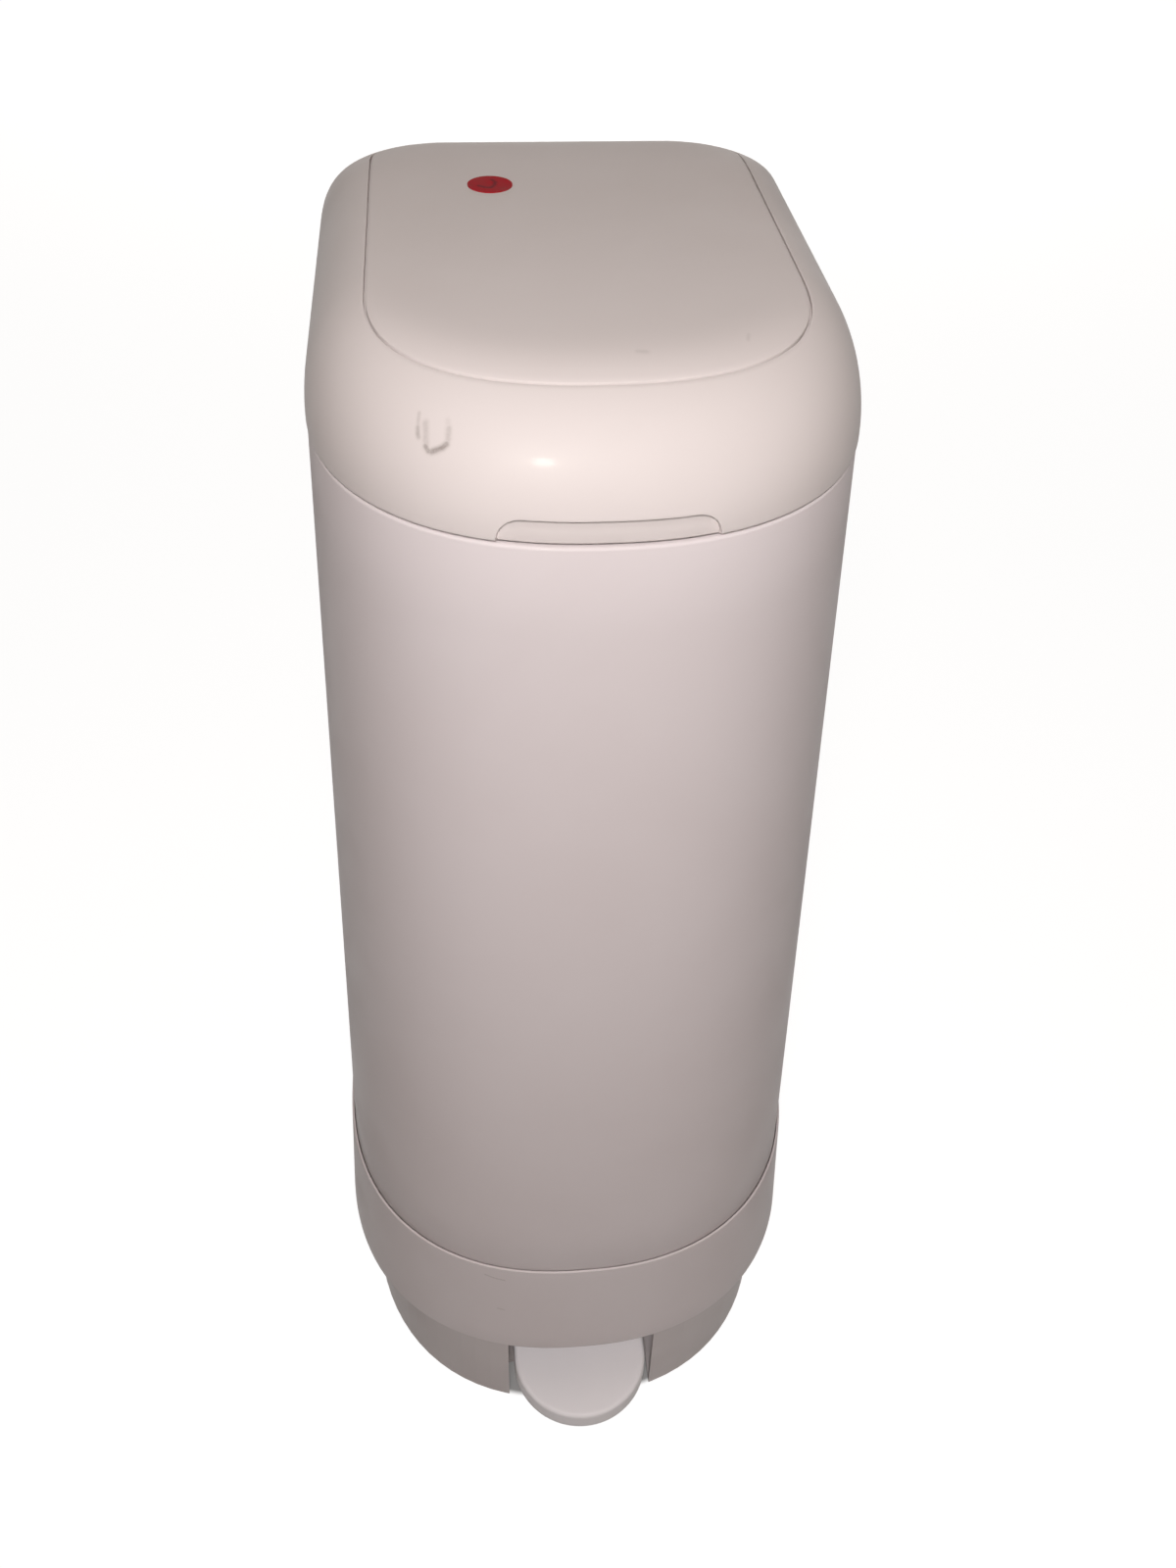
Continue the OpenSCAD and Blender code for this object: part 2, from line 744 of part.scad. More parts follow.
module top_deck() {
    color(light_grey) place() difference() {
        union() {
            translate([0, 0, deck_bottom]) linear_extrude(deck_t) deck_plan(0);
            // Stiffening skirt under the edge of the plate
            translate([0, 0, deck_bottom - skirt_h]) linear_extrude(skirt_h + eps) difference() {
                deck_plan(0);
                deck_plan(skirt_t);
            }
            // Rim that the lid's seal meets
            at_well() bar_z(seal_r + seal_rim_t / 2, deck_top - eps, deck_top + seal_rim_h);
            pair_x() box([tower_x, hinge_y - barrel_r, deck_top - eps],
                [tower_x + tower_t, hinge_y + tower_back, hinge_z]);
            pair_x() bar_x(barrel_r, tower_x, tower_x + tower_t, hinge_y, hinge_z);
        }
        at_well() {
            bar_z(well_r, deck_bottom - cut, deck_top + cut);
            bar_z(seal_r - seal_rim_t / 2, deck_top, deck_top + seal_rim_h + cut);
        }
        button_hole(seat_gap);
        // Notch for the catch of the front
        box([-notch_half, -big, skirt_cut_z], [notch_half, latch_y + notch_back, deck_top + cut]);
        bar_z(guide_r + fit, deck_bottom - cut, deck_top + cut, 0, rod_y);
        at_deck_screws() bar_z(screw_r + screw_room, deck_bottom - cut, deck_top + cut);
        // Room in the skirt for the housing's bosses and their ribs
        at_deck_screws() bar_z(deck_boss_r + seat_gap, skirt_cut_z, deck_bottom);
        for (y = [deck_screw_front_y, deck_screw_rear_y]) pair_x()
            box([deck_screw_x, y - deck_rib_t / 2 - rib_room, skirt_cut_z],
                [big, y + deck_rib_t / 2 + rib_room, deck_bottom]);
        pair_x() bar_x(pin_r + fit, tower_x - cut, tower_x + tower_t + cut, hinge_y, hinge_z);
    }
}

shelf_drop = 40;         // from the deck down to the shelf of the release button's spring
shelf_z = deck_bottom - shelf_drop;
shelf_half = 12;
shelf_t = 4;
well_step = 0.5;         // how far the well's floor reaches in under the cassette's bore
well_bore = cassette_bore - well_step;

// Cup that holds the cassette, hung under the deck
module cassette_well() {
    color(light_grey) place() difference() {
        union() {
            at_well() bar_z(well_r + well_wall, well_bottom, deck_bottom);
            // Shelf under the release button's spring
            box([-shelf_half, button_y0, shelf_z - shelf_t], [shelf_half, well_y - well_r, shelf_z]);
        }
        at_well() {
            bar_z(well_r, well_bottom + well_floor, deck_bottom + cut);
            bar_z(well_bore, well_bottom - cut, deck_bottom);
        }
    }
}

// Tube under the well that carries the clamps
module clamp_housing() {
    color(light_grey) place() at_well() difference() {
        bar_z(funnel_r + funnel_wall, funnel_bottom, well_bottom);
        bar_z(funnel_r, funnel_bottom - cut, well_bottom + cut);
        pair_x() bar_y(clamp_pin_r + fit, -big / 2, big / 2, clamp_x, clamp_z);
    }
}

module deck_screws() {
    color(steel) place() at_deck_screws() {
        bar_z(head_r, deck_top, deck_top + head_t);
        bar_z(screw_r, deck_bottom - deck_screw_end, deck_top + eps);
    }
}

cassette_wall = 1.6;
cassette_floor = 2;
cap_h = 3;
cap_slot = 4;            // from the bore to the cap's inner edge; the film comes out between
film_room = 1;           // space left over the packed film
cassette_top = cassette_z + cassette_h;
core_r = cassette_bore + cassette_wall;

// Ring between radii r0 and r1, round the axis of the well
module well_ring(r0, r1, z0, z1) {
    at_well() difference() {
        bar_z(r1, z0, z1);
        bar_z(r0, z0 - cut, z1 + cut);
    }
}

// Tray of the cassette
module film_cassette() {
    color(light_grey) place() difference() {
        well_ring(core_r, cassette_r, cassette_z, cassette_top - cap_h);
        at_well() bar_z(cassette_r - cassette_wall, cassette_z + cassette_floor, cassette_top);
    }
}

// Inner tube of the cassette, which the film runs over
module cassette_core() {
    color(light_grey) place() well_ring(cassette_bore, core_r, cassette_z, cassette_top - cap_h);
}

module cassette_cap() {
    color(grey) place() well_ring(cassette_bore + cap_slot, cassette_r, cassette_top - cap_h, cassette_top);
}

module film_pack() {
    color(film_blue) place() well_ring(core_r + seat_gap, cassette_r - cassette_wall - seat_gap,
        cassette_z + cassette_floor, cassette_top - cap_h - film_room);
}

barrel_len = 22;         // half length of a flap's hinge barrel
coil_half = 8;
flap_tab = 12;
flap_barrel_t = 2;
flap_barrel_r = clamp_pin_r + flap_barrel_t;
window_reach = 14;
window_half = coil_half + 1;

module clamp_flap() {
    difference() {
        union() {
            intersection() {
                bar_z(clamp_reach, clamp_z, clamp_z + clamp_t);
                box([seat_gap, -big, 0], [big, big, big * 2]);
            }
            box([clamp_reach - flap_tab, -barrel_len, clamp_z], [clamp_x, barrel_len, clamp_z + clamp_t]);
            bar_y(flap_barrel_r, -barrel_len, barrel_len, clamp_x, clamp_z);
        }
        bar_y(clamp_pin_r + fit, -big, big, clamp_x, clamp_z);
        // Window for the spring
        box([clamp_x - window_reach, -window_half, clamp_z - flap_barrel_r - cut],
            [clamp_x + flap_barrel_r + cut, window_half, clamp_z + flap_barrel_r + cut]);
    }
}

module clamp_right() {
    color(grey) place() at_well() clamp_flap();
}

module clamp_left() {
    color(grey) place() at_well() mirror([1, 0, 0]) clamp_flap();
}

// The pins end inside the housing's wall
clamp_pin_half = sqrt(pow(funnel_r + funnel_wall, 2) - pow(clamp_x + clamp_pin_r, 2)) - pin_end_gap;

module clamp_pins() {
    color(steel) place() at_well() pair_x()
        bar_y(clamp_pin_r, -clamp_pin_half, clamp_pin_half, clamp_x, clamp_z);
}

module clamp_spring() {
    turns = 6;
    loop_r = clamp_pin_r + wire_r + seat_gap;
    leg = window_reach - seat_gap;
    translate([clamp_x, coil_half, clamp_z]) rotate([90, 0, 0])
        coil(loop_r, wire_r, turns, 2 * coil_half, 90);
    // Leg that holds the flap up
    translate([clamp_x - leg, coil_half - wire_r, clamp_z + loop_r]) rotate([0, 90, 0])
        cylinder(r = wire_r, h = leg);
}

module clamp_spring_right() {
    color(steel) place() at_well() clamp_spring();
}

module clamp_spring_left() {
    color(steel) place() at_well() mirror([1, 0, 0]) clamp_spring();
}

// ---------------------------------------------------------------- release button and cutter

button_rise = 7;         // how far the button stands above the deck
button_foot = 15;        // how far the button reaches below the deck
button_foot_z = deck_bottom - button_foot;
flange_half = 16;        // the button's flange stops it under the deck
flange_edge = 2;
nose_gap = 0.6;
nose_y = latch_y - latch_t - nose_gap;      // the nose stands in front of the catch's lip
nose_half = 10;
nose_t = 3;
nose_arm_t = 4;
nose_grip = 4.5;         // how far the nose reaches up in front of the lip

module release_button() {
    color(grey) place() {
        box([-button_x, button_y0, button_foot_z], [button_x, button_y1, deck_top + button_rise]);
        box([-flange_half, latch_y + flange_edge, button_foot_z],
            [flange_half, button_y1 + flange_edge, deck_bottom - seat_gap]);
        box([-nose_half, nose_y - nose_t, button_foot_z],
            [nose_half, latch_y + flange_edge + eps, button_foot_z + nose_arm_t]);
        box([-nose_half, nose_y - nose_t, button_foot_z], [nose_half, nose_y, latch_z + nose_grip]);
    }
}

module button_spring() {
    loop_r = 4.5;
    wire = 0.5;
    turns = 6;
    end_gap = 0.05;
    spring_y = (button_y0 + button_y1) / 2;
    color(steel) place() translate([0, spring_y, shelf_z + end_gap])
        coil(loop_r, wire, turns, button_foot_z - shelf_z - 2 * end_gap);
}

cutter_y = well_y - funnel_r - funnel_wall;
cutter_lift = 6;
cutter_z = funnel_bottom + cutter_lift;
cutter_half = 16;
cutter_out = 14;         // how far the cutter stands out from the tube
cutter_in = 6;           // how far its ends reach round the tube
cutter_h = 24;
cutter_fit = 0.05;
slot_near = 5;           // sides of the film's slot, measured from the tube
slot_far = 8;
slot_h = 15;
blade_half = 6;
blade_len = 7;
blade_notch = 4;
blade_t = 0.8;
blade_fit = 0.1;
blade_lift = 4;
blade_out = 10;
blade_z = cutter_z + blade_lift;
blade_y = cutter_y - blade_out;

module cutter_body() {
    color(grey) place() difference() {
        box([-cutter_half, cutter_y - cutter_out, cutter_z],
            [cutter_half, cutter_y + cutter_in, cutter_z + cutter_h]);
        at_well() bar_z(funnel_r + funnel_wall + cutter_fit, cutter_z - cut, cutter_z + cutter_h + cut);
        // Slot that the film is drawn through
        box([-cutter_half - cut, cutter_y - slot_far, cutter_z - cut],
            [cutter_half + cut, cutter_y - slot_near, cutter_z + slot_h]);
        // Pocket of the blade
        box([-blade_half - blade_fit, blade_y, blade_z],
            [blade_half + blade_fit, blade_y + blade_len, blade_z + blade_t + 2 * blade_fit]);
    }
}

module cutter_blade() {
    color(steel) place() translate([0, blade_y, blade_z + blade_fit]) linear_extrude(blade_t)
        polygon([[-blade_half, 0], [blade_half, 0], [blade_half, blade_len], [0, blade_notch],
            [-blade_half, blade_len]]);
}

// ---------------------------------------------------------------- lid

lid_screw_x = 72;
lid_screw_front_y = -46;
lid_screw_rear_y = 116;
liner_lift = 0.4;
liner_z = lid_z + liner_lift;
liner_t = 2.6;
upstand_angle = 18;      // how far up the dome the liner's rim reaches
liner_inset = lid_wall + seat_gap;
plate_inset = liner_inset + liner_lift;
arm_x0 = 46.6;
arm_x1 = 60;
filter_r = 36;
cover_room = 1.2;        // gap between the lid and the hinge cover
cover_side = 2;          // the same at the cover's ends
panel_cut_z = lid_z + lid_rise / 2;
panel_glue = 0.1;
recess_r = 8.3;
lid_boss_r = 5;
lid_hole_h = 26;
lid_screw_len = 22;
lid_head_t = 2;
filter_h = 11;
filter_lift = 0.2;
filter_z = liner_z + filter_lift;
filter_wall = 2.5;
filter_lip = 4;          // width of the ledge over the filter's edge
boss_step_r = 4;
arm_half = 4;            // half thickness of the arms that reach back to the hinge
arm_foot = 3.2;
arm_root = 2;
slot_side = 1;           // gap beside an arm
rod_lug_in = 7;          // inner and outer faces of the lug's cheeks
rod_lug_out = 9.5;
rod_lug_front = 8;
rod_lug_back = 6;
upstand_t = 2;
filter_fit = 0.3;
rod_hole_half = 6.5;
rod_hole_reach = 12;

module at_lid_screws() {
    for (y = [lid_screw_front_y, lid_screw_rear_y]) pair_x() translate([lid_screw_x, y, 0]) children();
}

// Room round the hinge cover, open to the rear and below
module hinge_room(r, half) {
    bar_x(r, -half, half, hinge_y, hinge_z);
    box([-half, hinge_y - r, lid_z - 2 * cut], [half, big, hinge_z]);
}

module lid_hinge_room() {
    hinge_room(cover_r + cover_room, hinge_half + cover_side);
}

module recess_outline() {
    r = recess_r;
    translate([-recess_w / 2, -cut]) square([recess_w, recess_h + cut - r]);
    translate([-recess_w / 2 + r, -cut]) square([recess_w - 2 * r, recess_h + cut]);
    for (x = [-1, 1]) translate([x * (recess_w / 2 - r), recess_h - r]) circle(r = r);
}

module lid_shell() {
    color(white) place() difference() {
        union() {
            difference() {
                lid_dome(0);
                lid_hollow(lid_wall);
            }
            intersection() {
                at_lid_screws() bar_z(lid_boss_r, liner_z + liner_t + seat_gap, lid_top);
                lid_dome(lid_wall / 2);
            }
        }
        // Seat of the top panel
        difference() {
            translate([0, 0, panel_cut_z]) linear_extrude(lid_rise) panel_outline(-groove_w);
            lid_hollow(panel_t + panel_glue);
        }
        // Finger recess in the front edge
        difference() {
            translate([0, -lid_b / 2, lid_z]) rotate([90, 0, 0]) linear_extrude(lid_b) recess_outline();
            lid_hollow(recess_d);
        }
        lid_hinge_room();
        at_lid_screws() bar_z(screw_r + fit, liner_z, liner_z + lid_hole_h);
    }
}

module lid_panel() {
    color(white) place() difference() {
        intersection() {
            lid_dome(0);
            translate([0, 0, panel_cut_z]) linear_extrude(lid_rise) panel_outline(0);
        }
        lid_hollow(panel_t);
    }
}

module lid_liner() {
    rim = plan(lid_a - plate_inset, lid_b - plate_inset, back_d - plate_inset, rear_r - plate_inset);
    color(light_grey) place() difference() {
        union() {
            prism(rim, liner_z, liner_z + liner_t);
            difference() {
                loft([for (t = [0, upstand_angle / 2, upstand_angle]) lid_ring(t, liner_inset)]);
                lid_hollow(liner_inset + upstand_t);
                box([-big, -big, 0], [big, big, liner_z]);
            }
            at_well() bar_z(filter_r + filter_wall, liner_z, liner_z + filter_h + wall);
            at_lid_screws() bar_z(boss_step_r, liner_z + liner_t - eps, liner_z + liner_t + seat_gap);
            pair_x() bar_x(barrel_r, arm_x0, arm_x1, hinge_y, hinge_z);
            pair_x() box([arm_x0, hinge_y - cover_r - arm_foot, liner_z],
                [arm_x1, hinge_y - cover_r + arm_root, hinge_z + arm_half]);
            pair_x() box([arm_x0, hinge_y - cover_r, hinge_z - arm_half],
                [arm_x1, hinge_y, hinge_z + arm_half]);
            // Lug that the lift rod pushes
            pair_x() box([rod_lug_in, rod_y - rod_lug_front, liner_z],
                [rod_lug_out, rod_y + rod_lug_back, hinge_z + lug_r]);
            bar_x(lug_r, -rod_lug_out, rod_lug_out, rod_y, hinge_z);
        }
        // Cup of the filter, with a ledge over its edge
        at_well() {
            bar_z(filter_r + filter_fit, liner_z - cut, filter_z + filter_h + filter_fit);
            bar_z(filter_r - filter_lip, liner_z, liner_z + filter_h + wall + cut);
        }
        difference() {
            lid_hinge_room();
            pair_x() box([arm_x0, 0, liner_z], [arm_x1, big, hinge_z + barrel_r + cut]);
        }
        pair_x() box([arm_x0 - slot_side, hinge_y + barrel_r, 0], [arm_x1 + slot_side, big, big * 2]);
        pair_x() difference() {
            box([arm_x0 - slot_side, hinge_y - cover_r + arm_root, liner_z - cut],
                [arm_x1 + slot_side, big, hinge_z]);
            bar_x(barrel_r, arm_x0 - 2 * cut, arm_x1 + 2 * cut, hinge_y, hinge_z);
            box([arm_x0, hinge_y - cover_r, hinge_z - arm_half], [arm_x1, hinge_y, hinge_z + arm_half]);
        }
        // Hole that the lift rod comes up through
        box([-rod_hole_half, rod_y - rod_hole_reach, liner_z - cut],
            [rod_hole_half, rod_y + rod_hole_reach, liner_z + liner_t + eps]);
        pair_x() bar_x(pin_r + fit, arm_x0 - cut, arm_x1 + cut, hinge_y, hinge_z);
        at_lid_screws() bar_z(screw_r + screw_room, liner_z - cut, liner_z + liner_t + cut);
    }
}

seal_half = 2.5;         // half width of the seal

module lid_seal() {
    color(grey) place()
        well_ring(seal_r - seal_half, seal_r + seal_half, deck_top + seal_rim_h + seat_gap, liner_z);
}

module carbon_filter() {
    color(black) place() at_well() bar_z(filter_r, filter_z, filter_z + filter_h);
}

vent_count = 7;
vent_pitch = 8;
vent_w = 3;
vent_half = 24;          // half length of a vent
vent_t = 3;
vent_rim = 6;            // how far the cover reaches round the filter

module filter_cover() {
    color(grey) place() at_well() difference() {
        bar_z(filter_r + vent_rim, liner_z - vent_t, liner_z);
        for (k = [0:vent_count - 1]) translate([0, (k - (vent_count - 1) / 2) * vent_pitch, 0])
            box([-vent_half, -vent_w / 2, liner_z - vent_t - cut], [vent_half, vent_w / 2, liner_z + cut]);
    }
}

module lid_screws() {
    color(steel) place() at_lid_screws() {
        bar_z(head_r, liner_z - lid_head_t, liner_z);
        bar_z(screw_r, liner_z - eps, liner_z + lid_screw_len);
    }
}

hinge_pin_tail = 1;      // how far the pin stands out of the lid's arms

module lid_hinge_pin() {
    color(steel) place()
        bar_x(pin_r, -arm_x1 - hinge_pin_tail, arm_x1 + hinge_pin_tail, hinge_y, hinge_z);
}

cover_t = 2;
cover_clear = 3;         // how far the cover's front edge lies behind the hinge's axis
tongue_t = 3.6;
tongue_gap = 0.4;        // between the tongue and the rear wall
tongue_drop = 16;
tongue_y1 = back_d - wall - tongue_gap;
tongue_y0 = tongue_y1 - tongue_t;
tongue_low = deck_bottom - tongue_drop;
tongue_rim = 1.1;        // how far the tongue ends below the lid
tongue_top = lid_z - tongue_rim;

module hinge_cover() {
    inner = hinge_half - cover_t;
    color(white) place() difference() {
        union() {
            difference() {
                bar_x(cover_r, -hinge_half, hinge_half, hinge_y, hinge_z);
                box([-big, -big, 0], [big, hinge_y + cover_clear, big * 2]);
            }
            // Tongue behind the rear wall
            box([-hinge_half, tongue_y0, tongue_low], [hinge_half, tongue_y1, tongue_top]);
        }
        bar_x(cover_r - cover_t, -inner, inner, hinge_y, hinge_z);
    }
}

sticker_x = -30;
sticker_y = 81;
sticker_t = 0.3;

module sticker() {
    color(red) place() bar_z(sticker_d / 2, lid_top, lid_top + sticker_t, sticker_x, sticker_y);
}

base();
rubber_feet();
base_screws();
pedal();
pedal_pin();
pedal_spring();
lift_rod();
rod_caps();
rod_guides();
body_housing();
front_shell();
inner_pail();
pail_screws();
pivot_pins();
top_deck();
deck_screws();
cassette_well();
clamp_housing();
film_cassette();
cassette_core();
cassette_cap();
film_pack();
clamp_left();
clamp_right();
clamp_pins();
clamp_spring_left();
clamp_spring_right();
release_button();
button_spring();
cutter_body();
cutter_blade();
lid_shell();
lid_panel();
lid_liner();
lid_seal();
carbon_filter();
filter_cover();
lid_screws();
lid_hinge_pin();
hinge_cover();
sticker();
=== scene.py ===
import json
import math

import bmesh
import bpy
import numpy as np
from mathutils import Matrix, Vector


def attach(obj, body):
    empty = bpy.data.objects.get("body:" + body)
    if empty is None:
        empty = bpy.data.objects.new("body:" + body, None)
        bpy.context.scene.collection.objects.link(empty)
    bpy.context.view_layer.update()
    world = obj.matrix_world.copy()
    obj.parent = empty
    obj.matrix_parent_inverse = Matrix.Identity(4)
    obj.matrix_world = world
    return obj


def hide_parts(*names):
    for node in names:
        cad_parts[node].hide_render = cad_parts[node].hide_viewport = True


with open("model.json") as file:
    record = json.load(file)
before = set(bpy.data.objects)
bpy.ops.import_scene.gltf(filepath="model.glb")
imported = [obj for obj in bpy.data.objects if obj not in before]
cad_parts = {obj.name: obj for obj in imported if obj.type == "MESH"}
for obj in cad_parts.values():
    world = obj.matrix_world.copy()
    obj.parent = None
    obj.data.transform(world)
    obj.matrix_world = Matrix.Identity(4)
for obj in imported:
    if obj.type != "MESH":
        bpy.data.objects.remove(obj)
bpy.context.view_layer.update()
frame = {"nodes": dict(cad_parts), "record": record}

nodes = frame["nodes"]

# ---------------- sizes
# In mm, with x to the right, y to the back from the line between front and housing, z up from the floor.

MM = 0.001              # one of these in metres
Y_SHIFT = -11.0         # from the split line to the frame's own y
POWER = 2.32            # roundness of the bowed front
BASE_TOP = 65.0
SEAM_Z = 140.0          # top of the band
LID_SEAM_Z = 575.0
SEAM_GAP = 1.2
SHELL_TOP = LID_SEAM_Z - SEAM_GAP / 2
LID_Z = LID_SEAM_Z + SEAM_GAP / 2       # the lid's rim
LID_TOP = 623.0
WALL = 3.0
BACK = 173.0            # the flat back
REAR_R = 37.0           # radius of its corners
BODY_A, BODY_B = 122.0, 124.0       # half width and bow of the front at its lower seam
TOP_A, TOP_B = 103.0, 108.0         # the same at the lid's seam
REAR_PROUD = 1.0        # how far the housing stands proud of the front at the lid's seam
BAND_A, BAND_B = 128.5, 130.0       # half width and bow of the band at its bottom edge
BASE_A, BASE_B = 118.0, 139.5       # half width and half depth of the base's footprint
LID_A, LID_B = 103.5, 108.5         # half width and bow of the lid at its rim
LID_WALL = 3.6
HINGE_Y, HINGE_Z = 163.0, 586.0
TILT_Y, TILT_Z = -12.0, 160.0       # the front's pivot
SHARP, SHARP_SMALL = 40, 35         # degrees from which an edge is drawn sharp, on skins and on small parts
SAME_PLACE = 0.003      # vertices of a skin nearer than this become one


# ---------------- plans

def mix(a, b, t):
    return a + (b - a) * t


def bow(t):
    return np.sign(t) * np.abs(t) ** (2 / POWER)


def stations(front, side, corner, back):
    """Places round a plan: front, left side, rear left, back, rear right, right side."""
    out = [("F", 180 * i / front) for i in range(front + 1)]
    out += [("L", (i + 1) / (side + 1)) for i in range(side)]
    out += [("CL", 90 * i / corner) for i in range(corner + 1)]
    out += [("B", (i + 1) / (back + 1)) for i in range(back)]
    out += [("CR", 90 * i / corner) for i in range(corner + 1)]
    out += [("R", (i + 1) / (side + 1)) for i in range(side)]
    return out


def plan_point(place, a, b, back, r):
    """The x and y of a place on a plan of half width a, bow b, flat back and corner radius r."""
    kind, v = place
    if kind == "F":
        t = math.radians(v)
        return np.array([a * bow(math.cos(t)), -b * bow(math.sin(t))])
    if kind == "L":
        return np.array([-a, v * (back - r)])
    if kind == "R":
        return np.array([a, (1 - v) * (back - r)])
    if kind == "B":
        return np.array([(a - r) * (2 * v - 1), back])
    t = math.radians(v)
    if kind == "CL":
        return np.array([-a + r - r * math.cos(t), back - r + r * math.sin(t)])
    return np.array([a - r + r * math.sin(t), back - r + r * math.cos(t)])


def front_station(x, a):
    """The front's place whose x is about x on a plan of half width a."""
    c = np.sign(x) * (abs(x) / a) ** (POWER / 2)
    return ("F", math.degrees(math.acos(c)))


# ---------------- meshes

def make_mesh(name, verts, faces, body, slot, material, replaces=(), sharp=SHARP, merge=0.0):
    """Verts are in mm about the split line. The piece rides on body."""
    no_size = 1e-7
    me = bpy.data.meshes.new(name)
    placed = (np.asarray(verts, float) + [0, Y_SHIFT, 0]) * MM
    me.from_pydata(placed.tolist(), [], faces)
    me.validate()
    bm = bmesh.new()
    bm.from_mesh(me)
    if merge:
        bmesh.ops.remove_doubles(bm, verts=bm.verts, dist=merge * MM)
    bmesh.ops.dissolve_degenerate(bm, edges=bm.edges, dist=no_size)
    bmesh.ops.recalc_face_normals(bm, faces=bm.faces)
    bm.to_mesh(me)
    bm.free()
    me.polygons.foreach_set("use_smooth", [True] * len(me.polygons))
    me.set_sharp_from_angle(angle=math.radians(sharp))
    ob = bpy.data.objects.new(name, me)
    bpy.context.scene.collection.objects.link(ob)
    me.materials.append(material)
    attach(ob, body)
    if replaces:
        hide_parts(*replaces)


def wall_mesh(columns, closed):
    """Closed solid from one closed cross-section per station round the plan."""
    n, m = len(columns), len(columns[0])
    verts = [p for c in columns for p in c]
    faces = []
    for i in range(n if closed else n - 1):
        j = (i + 1) % n
        for k in range(m):
            l = (k + 1) % m
            faces.append((i * m + k, j * m + k, j * m + l, i * m + l))
    if not closed:
        faces.append(tuple(range(m)))
        faces.append(tuple((n - 1) * m + k for k in range(m - 1, -1, -1)))
    return verts, faces


def box_part(bm, low, high, bevel):
    """Adds a box, in mm, with rounded edges."""
    low, high = np.array(low, float), np.array(high, float)
    made = bmesh.ops.create_cube(bm, size=1.0)["verts"]
    bmesh.ops.scale(bm, vec=Vector(high - low), verts=made)
    bmesh.ops.translate(bm, vec=Vector((low + high) / 2), verts=made)
    edges = list({e for v in made for e in v.link_edges})
    bmesh.ops.bevel(bm, geom=edges, offset=bevel, segments=3, affect="EDGES", profile=0.5)


def rod_part(bm, r, start, end, bevel, inner=0.0):
    """Adds a round bar or tube between two points, in mm, with rounded rims."""
    segments = 40
    start, end = Vector(start), Vector(end)
    length = (end - start).length
    profile = [(inner, 0), (r - bevel, 0), (r, bevel)]
    profile += [(r, length - bevel), (r - bevel, length), (inner, length)]
    turn = (end - start).to_track_quat("Z", "Y").to_matrix().to_4x4()
    turn.translation = start
    rings = []
    for i in range(segments):
        a = 2 * math.pi * i / segments
        ring = [Vector((q * math.cos(a), q * math.sin(a), z)) for q, z in profile]
        rings.append([bm.verts.new(turn @ point) for point in ring])
    m = len(profile)
    for i in range(segments):
        j = (i + 1) % segments
        for k in range(m if inner else m - 1):
            l = (k + 1) % m
            bm.faces.new((rings[i][k], rings[j][k], rings[j][l], rings[i][l]))


def part_object(name, build, body, slot, material):
    """Piece from the boxes and rods that build adds, with its faces in the same order in each run."""
    same_place = 1e-4
    bm = bmesh.new()
    build(bm)
    bmesh.ops.remove_doubles(bm, verts=bm.verts, dist=same_place)
    verts = [list(v.co) for v in bm.verts]
    bm.verts.index_update()
    faces = sorted([v.index for v in f.verts] for f in bm.faces)
    bm.free()
    make_mesh(name, verts, faces, body, slot, material, sharp=SHARP_SMALL)


# ---------------- nodes of materials

def new_material(name):
    m = bpy.data.materials.new(name)
    m.use_nodes = True
    nt = m.node_tree
    nt.nodes.clear()
    out = nt.nodes.new("ShaderNodeOutputMaterial")
    shader = nt.nodes.new("ShaderNodeBsdfPrincipled")
    nt.links.new(shader.outputs[0], out.inputs[0])
    return m, nt, shader


def node(nt, kind, **values):
    n = nt.nodes.new(kind)
    for key, value in values.items():
        setattr(n, key, value)
    return n


def math_node(nt, op, a, b=None, clamp=False):
    n = node(nt, "ShaderNodeMath", operation=op, use_clamp=clamp)
    for i, v in enumerate((a, b)):
        if v is None:
            continue
        if isinstance(v, (int, float)):
            n.inputs[i].default_value = v
        else:
            nt.links.new(v, n.inputs[i])
    return n.outputs[0]


def vector_math(nt, op, a, b=None, scale=None):
    """The vector and the number that a Vector Math node gives."""
    n = node(nt, "ShaderNodeVectorMath", operation=op)
    for i, v in ((0, a), (1, b), (3, scale)):
        if v is None:
            continue
        if isinstance(v, (int, float, tuple)):
            n.inputs[i].default_value = v
        else:
            nt.links.new(v, n.inputs[i])
    return n.outputs[0], n.outputs[1]


def coords(nt):
    """Places on the piece, in metres in the frame."""
    for n in nt.nodes:
        if n.type == "TEX_COORD":
            return n.outputs["Object"]
    return node(nt, "ShaderNodeTexCoord").outputs["Object"]


def noise(nt, scale, detail=3.0, rough=0.5, distort=0.0, vector=None):
    n = node(nt, "ShaderNodeTexNoise")
    n.inputs["Scale"].default_value = scale
    n.inputs["Detail"].default_value = detail
    n.inputs["Roughness"].default_value = rough
    n.inputs["Distortion"].default_value = distort
    nt.links.new(vector if vector is not None else coords(nt), n.inputs["Vector"])
    return n.outputs["Fac"]


def ramp(nt, fac, stops):
    """Colour or value that changes with fac between stops of (position, value)."""
    n = node(nt, "ShaderNodeValToRGB")
    while len(n.color_ramp.elements) < len(stops):
        n.color_ramp.elements.new(0.5)
    for e, (pos, value) in zip(n.color_ramp.elements, stops):
        e.position = pos
        e.color = (value, value, value, 1) if isinstance(value, (int, float)) else (*value, 1)
    nt.links.new(fac, n.inputs[0])
    return n.outputs[0]


